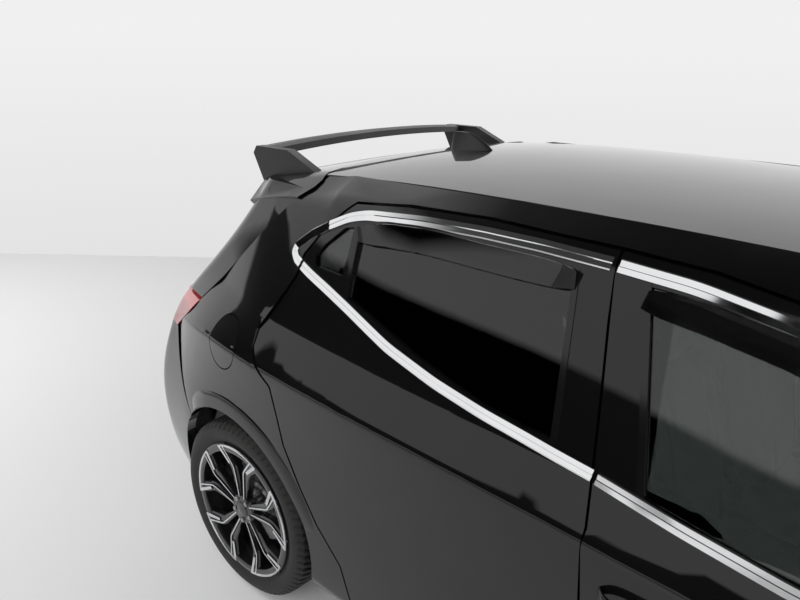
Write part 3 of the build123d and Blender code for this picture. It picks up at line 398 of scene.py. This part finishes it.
smooth.links.new(crisp.outputs[0], left.inputs[0])

SLOT_FINISH = {"paint": paint, "glass": privacy, "tyre": rubber, "alloy": cast_black,
               "lamp_red": lamp_red,
               "lamp_clear": lens, "black_plastic": grained, "gloss_black": gloss, "seat": cloth,
               "steel": steel, "iron": iron}
NODE_FINISH = {"spoiler": satin, "aerial_fin": satin, "windscreen": clear, "front_glass_right": clear,
               "front_glass_left": clear}
for part in frame["record"]["subparts"]:
    node = frame["nodes"][part["node"]]
    node.modifiers.new("smooth", "NODES").node_group = smooth
    look = NODE_FINISH.get(part["node"], SLOT_FINISH[part["material_slot"]])
    if not node.material_slots:
        node.data.materials.append(look)
    for place in node.material_slots:
        place.link = "OBJECT"
        place.material = look

# %% [markdown]
# ## Bright window line
# The bright strip round the side windows is a pressed section with a ridge, 24 mm wide. It could
# be a bevelled curve, but a profile carried over the flank's formula seats on the panel all along.
# It breaks at the door gaps, so each stretch rides on its own door, and the corner on the body.
# %% Bright strips
RIDGE = ((-12, -0.5), (-11.5, 3.5), (-2, 5.5), (-0.5, 3.2), (9, 5.2), (11.5, 3.5), (12, -0.5))
STRIP_STEPS = 90
LINES = {
    # body it rides on, places (x, z), softening
    "low_front": ("front_door", ((-221, 965), (-54, 943), (144, 923), (420, 918), (650, 938)), 6),
    "top_front": ("front_door", ((-299, 1344), (-142, 1336), (31, 1312), (190, 1262), (430, 1132),
                                 (640, 1004)), 10),
    "low_rear": ("rear_door", ((-231, 967), (-319, 975), (-389, 983), (-500, 994), (-646, 1015), (-809, 1049),
                               (-981, 1103), (-1068, 1128), (-1155, 1150), (-1190, 1161)), 6),
    "top_rear": ("rear_door", ((-315, 1344), (-483, 1348), (-641, 1347), (-820, 1340),
                               (-1000, 1326), (-1060, 1311), (-1128, 1279)), 6),
    "corner": ("body", ((-1200, 1165), (-1224, 1173), (-1241, 1188), (-1238, 1206),
                        (-1186, 1247), (-1134, 1276)), 3),
}
for side, hand in HANDS:
    for label, (body, places, soften) in LINES.items():
        path = trail(places, STRIP_STEPS, soften)
        body = body if body == "body" else body + "_" + side
        across, lifts = zip(*RIDGE)
        make("strip_%s_%s" % (label, side), [band(path, across, lifts, hand)], [chrome], body)
print("strips", len(LINES) * 2)

# %% [markdown]
# ## Smoked wind deflectors
# Each door window carries a visor of smoked acrylic under its top edge. It is a thin strip that
# stands further off the glass at its lower edge, so rain runs off while the window is open.
# %% Deflectors and guide bars
VISOR = ((-28, 15), (-26.5, 18), (24, 5), (26, 2), (24, 2), (-25, 14))
VISORS = {
    "front_door": ((-228, 1298), (-120, 1292), (60, 1266), (200, 1204), (330, 1136)),
    "rear_door": ((-375, 1300), (-608, 1298), (-790, 1298), (-900, 1291), (-1004, 1276)),
}
BARS = {
    "front_door": (((-133, 960), (-234, 1326)),),
    "rear_door": (((-327, 990), (-383, 1322)), ((-995, 1122), (-1018, 1296))),
}
VISOR_STEPS, VISOR_SOFTEN, VISOR_TAPER = 70, 6, 0.35
BAR_STEPS = 24
BAR = ((-8, -6), (-7, 1.5), (7, 1.5), (8, -6))
for side, hand in HANDS:
    across, lifts = zip(*VISOR)
    for door, places in VISORS.items():
        path = trail(places, VISOR_STEPS, VISOR_SOFTEN)
        make("deflector_%s_%s" % (door, side), [band(path, across, lifts, hand, VISOR_TAPER)], [smoked],
             "%s_%s" % (door, side))
    across, lifts = zip(*BAR)
    for door, bars in BARS.items():
        grids = [band(trail(bar, BAR_STEPS), across, lifts, hand) for bar in bars]
        make("guide_bars_%s_%s" % (door, side), grids, [gloss], "%s_%s" % (door, side))
print("deflectors and bars made")

# %% [markdown]
# ## Door handles
# A pull handle is a bar that leaves the skin at one end and comes back at the other: an oval
# carried along a path whose lift is a flat-topped arch.
# %% Handles on the front doors
HANDLE_X, HANDLE_LONG = -166, 186
HANDLE_Z, HANDLE_CLIMB = 768, 6
HANDLE_REACH, HANDLE_ROOT = 30, 6
GRIP_TALL, GRIP_DEEP = 11, 7
t = np.linspace(0, 1, 40)
arch = (1 - np.abs(2 * t - 1) ** 6) * HANDLE_REACH - HANDLE_ROOT
turn = np.linspace(0, 2 * np.pi, 20, endpoint=False)
for side, hand in HANDS:
    x = (HANDLE_X + HANDLE_LONG * t)[:, None] + 0 * turn
    z = (HANDLE_Z + HANDLE_CLIMB * t)[:, None] + GRIP_TALL * np.sin(turn)[None, :]
    lift = arch[:, None] + GRIP_DEEP * np.cos(turn)[None, :]
    make("handle_" + side, [on_flank(x, z, lift, hand)], [paint], "front_door_" + side, sharp=60)
print("handles made")

# %% [markdown]
# ## Tyres with tread
# A tyre is a profile turned about the axle. The tread is the same surface again with its radius
# lowered in the grooves: three run round it, and slanted cuts divide the shoulders into blocks.
# %% Tyre surface
PROFILE = ((216.5, -88), (238, -89), (252, -98), (268, -102.2), (284, -98), (292, -92.4), (302, -84),
           (305.5, -74))
BLOCKS = 72
BLOCK_SLANT = 0.09
CROWN_DROP, CROWN_HALF = 2.5, 74
RING_OFFSET, RING_HALF, MIDDLE_RING_HALF = 26, 4.5, 3.5
TREAD_HALF, SHOULDER_FROM, SHOULDER_RADIUS = 72, 44, 286
GROOVE_DEPTH = 6.5
RIB_RADIUS, RIB_HALF, RIB_RISE = 262, 3, 0.8


def turned(radius, offset, angle, axle, hand):
    """A point at that radius and angle about an axle, offset outwards from the wheel's middle."""
    return np.stack([axle + radius * np.sin(angle), hand * (HUB_Y + offset) + 0 * radius * angle,
                     TYRE_R + radius * np.cos(angle)], -1)


def tyre_grid(axle, hand):
    """Rows round the axle, columns across the tyre: radius less the groove depth at each place."""
    wall = np.array(PROFILE)
    tread = np.linspace(-70, 70, 29)
    crown = np.stack([TYRE_R - CROWN_DROP * (tread / CROWN_HALF) ** 2, tread], -1)
    outline = np.concatenate([wall, crown, wall[::-1] * (1, -1)])
    radius, offset = outline[:, 0], outline[:, 1]
    angle = np.linspace(0, 2 * np.pi, BLOCKS * 6, endpoint=False)[:, None]
    far = np.abs(offset)
    rings = np.exp(-((far - RING_OFFSET) / RING_HALF) ** 6) + np.exp(-(offset / MIDDLE_RING_HALF) ** 6)
    shoulder = (far > SHOULDER_FROM) & (radius > SHOULDER_RADIUS)
    cuts = (np.cos(BLOCKS * angle + BLOCK_SLANT * offset) > 0.72) * shoulder
    ribs = RIB_RISE * np.exp(-((radius - RIB_RADIUS) / RIB_HALF) ** 2) * (radius < SHOULDER_RADIUS)
    depth = GROOVE_DEPTH * np.clip(rings * (far < TREAD_HALF) + cuts, 0, 1)
    return turned(radius - depth, offset + np.sign(offset) * ribs + 0 * angle, angle, axle, hand)


for end, axle in WHEELS.items():
    for side, hand in HANDS:
        make("treaded_tyre_%s_%s" % (end, side), [tyre_grid(axle, hand)], [rubber],
             "wheel_%s_%s" % (end, side), loop=True, sharp=40, replace=["tyre_%s_%s" % (end, side)])
print("tyres made")

# %% [markdown]
# ## Machined wheels
# Each of five shields is a pair of bent spokes with gloss black flanks and a machined face, a thin
# second line beside each, and a bright arc on the rim between them. A spoke is a section carried
# along a path in (radius, offset from the shield's middle line).
# %% Spokes
LINE = ((44, 12), (100, 18.5), (154, 25.5), (214, 73))
WEDGE = ((160, 44), (207, 94))
ARM = ((42, 12), (90, 20), (148, 30), (170, 48), (212, 84))
SECTION = ((-1.0, 62), (-1.0, 84), (-0.8, 88), (0.8, 88), (1.0, 84), (1.0, 62))
FACE_RISE = 11.5
FACE_R = 228


def spoke_grid(places, half, rise, shield, mirror, axle, hand, soften=1):
    """A bar on the wheel's face: its section (across, depth) carried along a bent path.

    half is its half width at the hub end and at the rim end; the face climbs with the radius squared.
    """
    path = trail(places, 30, soften)
    half = np.linspace(half[0], half[1], 30)[:, None]
    run = np.gradient(path, axis=0)
    run /= np.linalg.norm(run, axis=1, keepdims=True)
    across = np.array([a for a, d in SECTION])[None, :] * half
    depth = np.array([d for a, d in SECTION]) + rise
    radial = path[:, :1] - run[:, 1:] * across
    offset = mirror * (path[:, 1:] + run[:, :1] * across)
    middle = np.radians(72 * shield)
    x = radial * np.sin(middle) + offset * np.cos(middle)
    z = radial * np.cos(middle) - offset * np.sin(middle)
    climb = FACE_RISE * (np.hypot(x, z) / FACE_R) ** 2
    return np.stack([axle + x, hand * (HUB_Y + depth[None, :] + climb), TYRE_R + z], -1)


print("spoke paths", len(LINE), len(WEDGE), len(ARM))

# %% [markdown]
# ### The turned parts
# Barrel, hub, cap and brake disc are closed outlines turned about the axle, as on a lathe.
# %% Turned parts


def lathe(outline, axle, hand, steps=96):
    """A closed outline (radius, offset) turned about the axle."""
    outline = np.array(outline, float)
    angle = np.linspace(0, 2 * np.pi, steps, endpoint=False)[:, None]
    return turned(outline[:, 0], outline[:, 1], angle, axle, hand)


BARREL = ((205, -98), (205, 90), (207, 96), (212, 98), (228, 98), (232, 96), (232, 92), (216, 88),
          (216, -90), (231, -94), (231, -98))
HUB = ((26, 62), (52, 62), (54, 80), (50, 87), (30, 89), (26, 86))
CAP = ((0.5, 70), (27, 70), (27.5, 88), (24, 91.5), (12, 93.5), (0.5, 94))
DISC = ((60, 4), (139, 4), (140, 6), (140, 18), (139, 20), (60, 20))
BELL = ((1, 0), (62, 0), (66, 6), (66, 22), (58, 28), (1, 28))
for end, axle in WHEELS.items():
    for side, hand in HANDS:
        place, wheel = "%s_%s" % (end, side), "wheel_%s_%s" % (end, side)
        make("barrel_" + place, [lathe(BARREL, axle, hand)], [cast_black], wheel,
             loop=True, replace=["rim_" + place])
        make("hub_" + place, [lathe(HUB, axle, hand), lathe(CAP, axle, hand)], [cast_black], wheel,
             loop=True)
        make("brake_disc_" + place, [lathe(DISC, axle, hand), lathe(BELL, axle, hand)], [steel], wheel,
             loop=True)
print("turned parts made")

# %% [markdown]
# ### The shields
# Five shields stand 72 degrees apart. Each gets its two spokes, their machined lines, the arc of
# bright rim between them and, half way to the next shield, one wheel bolt.
# %% Shields and bolts
SHIELDS, SHIELD_ANGLE = 5, 72
ARC_HALF_ANGLE = 25.5
ARC_LIP = ((223, 92), (223, 98), (224.5, 100.4), (229, 100.4), (230.5, 98), (230.5, 92))
BOLT_CIRCLE = 40
BOLT_DEPTHS, BOLT_SIZES = (80, 92, 94), (8.5, 8.5, 7.0)


def bolt_grid(angle, axle, hand):
    """A bolt's six-sided head: a hexagon at three depths, the last a little smaller."""
    ring = np.linspace(0, 2 * np.pi, 6, endpoint=False)[None, :]
    rise = np.array(BOLT_DEPTHS)[:, None] + 0 * ring
    size = np.array(BOLT_SIZES)[:, None]
    return np.stack([axle + BOLT_CIRCLE * np.sin(angle) + size * np.cos(ring), hand * (HUB_Y + rise),
                     TYRE_R + BOLT_CIRCLE * np.cos(angle) + size * np.sin(ring)], -1)


lip = np.array(ARC_LIP, float)
for end, axle in WHEELS.items():
    for side, hand in HANDS:
        place, wheel = "%s_%s" % (end, side), "wheel_%s_%s" % (end, side)
        arms, faces, thin, arcs, bolts = [], [], [], [], []
        for shield in range(SHIELDS):
            for mirror in (-1, 1):
                arms.append(spoke_grid(ARM, (9, 24), -3.5, shield, mirror, axle, hand, 3))
                faces.append(spoke_grid(LINE, (2.6, 3.2), 0.5, shield, mirror, axle, hand))
                thin.append(spoke_grid(WEDGE, (6.0, 7.5), 0.5, shield, mirror, axle, hand))
            sweep = SHIELD_ANGLE * shield + np.linspace(-ARC_HALF_ANGLE, ARC_HALF_ANGLE, 40)
            arcs.append(turned(lip[:, 0], lip[:, 1], np.radians(sweep)[:, None], axle, hand))
            bolts.append(bolt_grid(np.radians(SHIELD_ANGLE * (shield + 0.5)), axle, hand))
        make("spokes_" + place, arms, [cast_black], wheel)
        make("spoke_faces_" + place, faces + thin, [cast_black, machined], wheel, bright=(2,))
        make("rim_arcs_" + place, arcs, [machined], wheel)
        make("wheel_bolts_" + place, bolts, [steel], wheel)
print("wheels made")

# %% [markdown]
# ## Seats
# A seat cushion is a crowned closed form: a rounded box whose sides pull in between the corners,
# with sewn channels pressed into its face. It is a grid in two angles, so the channels are a
# lowering of the surface along lines of constant height.
# %% Padded pieces


CHANNEL_HALF, CHANNEL_DEPTH, CHANNEL_END = 0.035, 0.16, 0.92
SIDE_PULL = 0.05


def power(value, exponent):
    """A power that keeps the sign: low exponents square off a sine."""
    return np.sign(value) * np.abs(value) ** exponent


def cushion(middle, half, lean, channels):
    """Superellipsoid grid: powers of sine and cosine square it off, channels dent it, lean tilts it."""
    u = np.linspace(-np.pi / 2, np.pi / 2, 61)[1:-1, None]
    v = np.linspace(-np.pi, np.pi, 96, endpoint=False)[None, :]
    a = power(np.cos(u), 0.35) * power(np.cos(v), 0.5)
    b = power(np.cos(u), 0.35) * power(np.sin(v), 0.35)
    c = power(np.sin(u), 0.45) + 0 * v
    pull = 1 - SIDE_PULL * (1 - np.abs(b) ** 2) * (1 - np.abs(c) ** 2)
    dent = sum(np.exp(-((b - place) / CHANNEL_HALF) ** 2) for place in channels) if channels else 0 * b
    x = half[0] * a * pull * (1 - CHANNEL_DEPTH * dent * (np.abs(c) < CHANNEL_END))
    y = half[1] * b * pull
    z = half[2] * c * pull
    cos, sin = np.cos(np.radians(lean)), np.sin(np.radians(lean))
    return np.stack([middle[0] + x * cos - z * sin, middle[1] + y,
                     middle[2] + x * sin + z * cos], -1)


PADS = {
    # node it replaces, middle, half sizes, lean in degrees, channels across
    "cushion": ("front_seats", (75, 365, 400), (68, 225, 245), -90, (-0.55, -0.18, 0.18, 0.55)),
    "backrest": ("front_seats", (-214, 360, 745), (62, 215, 300), 15, (-0.55, -0.18, 0.18, 0.55)),
    "headrest": ("front_seats", (-300, 360, 1118), (42, 120, 66), 12, ()),
    "bench_cushion": ("rear_bench", (-850, 295, 414), (60, 288, 222), -90, (-0.5, 0.0, 0.5)),
    "bench_back": ("rear_bench", (-1094, 295, 745), (52, 288, 285), 13, (-0.5, 0.0, 0.5)),
    "bench_headrest": ("rear_bench", (-1150, 330, 1072), (34, 110, 48), 12, ()),
}
for label, (node, middle, half, lean, channels) in PADS.items():
    for side, hand in HANDS:
        place = (middle[0], hand * middle[1], middle[2])
        pad = make("%s_%s" % (label, side), [cushion(place, half, lean, channels)], [cloth], "body",
                   sharp=60, replace=[node])
print("pads", len(PADS) * 2)

# %% [markdown]
# ## Arch flares
# A raised lip runs round each rear arch. It is a crescent on the flank: a band between two radii
# about the axle, thickest at the arch's edge and fading into the panel at both ends.
# %% Flares round the rear arches
FLARE_FROM, FLARE_TO, FLARE_FADE = 18, 131, 0.35
FLARE_RADIUS, FLARE_WIDE = 364, 52
FLARE_RISE, FLARE_ROOT, FLARE_BACK = 9, 1.2, -3.0
angle = np.radians(np.linspace(FLARE_FROM, FLARE_TO, 90))[:, None]
share = np.linspace(0, 1, 15)[None, :]
fade = np.clip(np.minimum(angle - angle[0], angle[-1] - angle) / FLARE_FADE, 0, 1) ** 0.6
radius = FLARE_RADIUS + FLARE_WIDE * share + 0 * angle
swell = fade * (FLARE_RISE * (1 - share ** 3)) - FLARE_ROOT
under = radius[:, ::-1][:, 1:-1]
ring = np.concatenate([radius, under], axis=1)
lifts = np.concatenate([swell, FLARE_BACK + 0 * under], axis=1)
for side, hand in HANDS:
    x = WHEELS["rear"] + ring * np.cos(angle)
    z = TYRE_R + ring * np.sin(angle)
    make("arch_flare_" + side, [on_flank(x, z, lifts, hand)], [paint], "body", sharp=50)
print("flares made")

# %% [markdown]
# ## Wipers
# Each wiper is a slim section carried up the screen's own plane: a blade, and the arm that presses
# on it. The screen is a plane that bows back with the square of the distance from the middle.
# %% Wipers
SCREEN_LOW = np.array((1040, 978))
SCREEN_TOP = np.array((290, 1422))
SCREEN_BOW = 105 / 620 ** 2
WIPERS = ((250, -80), (-350, -620))  # pivot and blade tip across the car
BLADE_FROM, BLADE_RISE, BLADE_LIFT = 40, 0.075, 14
ARM_LOW, ARM_HIGH, ARM_LIFT = -0.02, 0.08, 26


def on_screen(y, rise, lift):
    """A place on the windscreen: rise is the share of its height, lift the distance outside it."""
    run = SCREEN_TOP - SCREEN_LOW
    normal = np.array((-run[1], run[0])) / -np.hypot(*run)
    x = SCREEN_LOW[0] + rise * run[0] - SCREEN_BOW * y * y + lift * normal[0]
    return np.stack([x, y, SCREEN_LOW[1] + rise * run[1] + lift * normal[1]], -1)


grids = []
turn = np.linspace(0, 2 * np.pi, 10, endpoint=False)[None, :]
for pivot, tip in WIPERS:
    y = np.linspace(pivot + BLADE_FROM, tip, 40)[:, None] + 0 * turn
    grids.append(on_screen(y, BLADE_RISE + 0.008 * np.cos(turn), BLADE_LIFT + 7 * np.sin(turn) + 0 * y))
    y = np.linspace(pivot, (pivot + tip) / 2, 24)[:, None] + 0 * turn
    rise = np.linspace(ARM_LOW, ARM_HIGH, 24)[:, None]
    grids.append(on_screen(y, rise + 0.01 * np.cos(turn), ARM_LIFT + 5 * np.sin(turn) + 0 * y))
make("wipers", grids, [grained], "body", sharp=50)
print("wipers made")

# %% [markdown]
# ## Studio floor
# The photograph was taken in a pale studio from above the right rear. The floor is one sheet that
# ends where the wall begins; the wall itself is the world. The first values are the camera's own,
# because the floor's far edge lies square to its view.
# %% Floor
EYE = np.array((246.1, -1945.5, 1751.3))
YAW, PITCH, ROLL = np.radians((131.214, -20.211, 1.108))
FOCAL_PX = 697.9
WALL_FAR = 5.72
FLOOR_HALF, FLOOR_BACK = 16, -14


def flat_finish(name, shade, rough):
    """A plain stage material."""
    material = bpy.data.materials.new(name)
    material.use_nodes = True
    shader = material.node_tree.nodes["Principled BSDF"]
    shader.inputs["Base Color"].default_value = (shade, shade, shade, 1)
    shader.inputs["Roughness"].default_value = rough
    return material


ahead = np.array((np.cos(YAW), np.sin(YAW)))
aside = np.array((-ahead[1], ahead[0]))
start = EYE[:2] * MM
outline = ((WALL_FAR, -FLOOR_HALF), (WALL_FAR, FLOOR_HALF), (FLOOR_BACK, FLOOR_HALF),
           (FLOOR_BACK, -FLOOR_HALF))
corners = [start + ahead * far + aside * wide for far, wide in outline]
mesh = bpy.data.meshes.new("studio_floor")
mesh.from_pydata([(x, y, 0) for x, y in corners], [], [(0, 1, 2, 3)])
mesh.materials.append(flat_finish("pale_floor", 0.88, 0.6))
floor = bpy.data.objects.new("studio_floor", mesh)
bpy.context.collection.objects.link(floor)
print("floor ends", WALL_FAR, "m ahead of the camera")

# %% [markdown]
# ## The wall as a world
# The world is pale near the horizon and dark overhead, so the black paint mirrors a bright band
# with a dark ceiling above it. The photo's panels also mirror something black low down on the near
# side. It is out of the picture, so here only mirrored rays see it and the camera does not.
# %% World
BAND_TOP = 0.28
BAND_SIDE = -0.23
BAND_SHADE = 0.003
LOW_SHARPNESS, TOP_SHARPNESS, SIDE_SHARPNESS = 40.0, 90.0, 40.0
SKY = ((0.36, 0.76), (0.5, 0.87), (0.84, 0.87), (0.88, 0.05), (0.99, 0.03))
world = bpy.data.worlds.new("studio")
world.use_nodes = True
bpy.context.scene.world = world
tree = world.node_tree
tree.nodes.clear()
out = tree.nodes.new("ShaderNodeOutputWorld")
back = tree.nodes.new("ShaderNodeBackground")
ramp = tree.nodes.new("ShaderNodeValToRGB")
split = tree.nodes.new("ShaderNodeSeparateXYZ")
tree.links.new(tree.nodes.new("ShaderNodeTexCoord").outputs["Generated"], split.inputs[0])
height = math_node(tree, "ADD", math_node(tree, "MULTIPLY", split.outputs["Z"], 0.5), 0.5)
tree.links.new(height, ramp.inputs["Fac"])
stops = ramp.color_ramp.elements
while len(stops) > 1:
    stops.remove(stops[-1])
for place, shade in SKY:
    stop = stops[0] if place == SKY[0][0] else stops.new(place)
    stop.position = place
    stop.color = (shade, shade, shade, 1)
path = tree.nodes.new("ShaderNodeLightPath")
below_top = math_node(tree, "SUBTRACT", BAND_TOP, split.outputs["Z"])
beside = math_node(tree, "SUBTRACT", BAND_SIDE, split.outputs["Y"])
low_edge = math_node(tree, "MULTIPLY", split.outputs["Z"], LOW_SHARPNESS, True)
high_edge = math_node(tree, "MULTIPLY", below_top, TOP_SHARPNESS, True)
near_side = math_node(tree, "MULTIPLY", beside, SIDE_SHARPNESS, True)
band_mask = math_node(tree, "MULTIPLY", math_node(tree, "MULTIPLY", low_edge, high_edge), near_side)
mirrored = math_node(tree, "SUBTRACT", 1.0, path.outputs["Is Camera Ray"])
unseen = math_node(tree, "MULTIPLY", band_mask, mirrored)
dim = tree.nodes.new("ShaderNodeMix")
dim.data_type = "RGBA"
dim.inputs["B"].default_value = (BAND_SHADE, BAND_SHADE, BAND_SHADE, 1)
tree.links.new(unseen, dim.inputs["Factor"])
tree.links.new(ramp.outputs["Color"], dim.inputs["A"])
tree.links.new(dim.outputs["Result"], back.inputs["Color"])
tree.links.new(back.outputs[0], out.inputs["Surface"])
back.inputs["Strength"].default_value = 1.0
print("world stops", len(stops))

# %% [markdown]
# ## Soft lamps
# Three large soft lamps add the light on the roof, the tail and the near side. They are left out of
# mirror reflections, because the photo's paint shows no lamp shapes.
# %% Lamps


def softbox(name, place, aim, size, power):
    """A large soft lamp at a place, aimed at a point; the sizes are in metres."""
    lamp = bpy.data.lights.new(name, "AREA")
    lamp.shape = "RECTANGLE"
    lamp.size, lamp.size_y = size
    lamp.energy = power
    light = bpy.data.objects.new(name, lamp)
    bpy.context.collection.objects.link(light)
    back_to = np.array(place, float) - np.array(aim, float)
    back_to /= np.linalg.norm(back_to)
    right = np.cross((0, 0, 1), back_to)
    right /= np.linalg.norm(right)
    up = np.cross(back_to, right)
    light.visible_glossy = False
    rows = [[right[k], up[k], back_to[k], place[k]] for k in range(3)]
    light.matrix_world = Matrix(rows + [[0, 0, 0, 1]])
    return light


softbox("ceiling_box", (-1.0, 0.0, 5.0), (-1.0, 0, 0), (5.0, 5.0), 330)
softbox("tail_box", (-5.5, -2.5, 3.4), (-1.0, 0, 0.5), (3.0, 2.4), 130)
softbox("side_box", (0.5, -5.0, 3.0), (0, 0, 0.5), (4.0, 2.4), 90)

# %% [markdown]
# ## Camera
# The camera stands where the photograph was taken. Its place and angles were worked out from the
# rear wheel, the arches and the panel gaps, whose sizes are known. Its matrix is built from its
# own three directions: right, up and back.
# %% Camera
PICTURE_WIDE, SENSOR_WIDE = 800, 36
look = np.array((np.cos(YAW) * np.cos(PITCH), np.sin(YAW) * np.cos(PITCH), np.sin(PITCH)))
level = np.array((np.sin(YAW), -np.cos(YAW), 0))
upright = np.cross(level, look)
right = np.cos(ROLL) * level + np.sin(ROLL) * upright
up = -np.sin(ROLL) * level + np.cos(ROLL) * upright
camera = bpy.data.objects.new("camera", bpy.data.cameras.new("camera"))
camera.data.sensor_width = SENSOR_WIDE
camera.data.lens = FOCAL_PX / PICTURE_WIDE * SENSOR_WIDE
camera.data.clip_start = 0.05
rows = [[right[k], up[k], -look[k], EYE[k] * MM] for k in range(3)]
camera.matrix_world = Matrix(rows + [[0, 0, 0, 1]])
bpy.context.collection.objects.link(camera)
bpy.context.scene.camera = camera
bpy.context.scene.view_settings.view_transform = "Standard"
print("camera at", EYE * MM, "lens", round(camera.data.lens, 2))
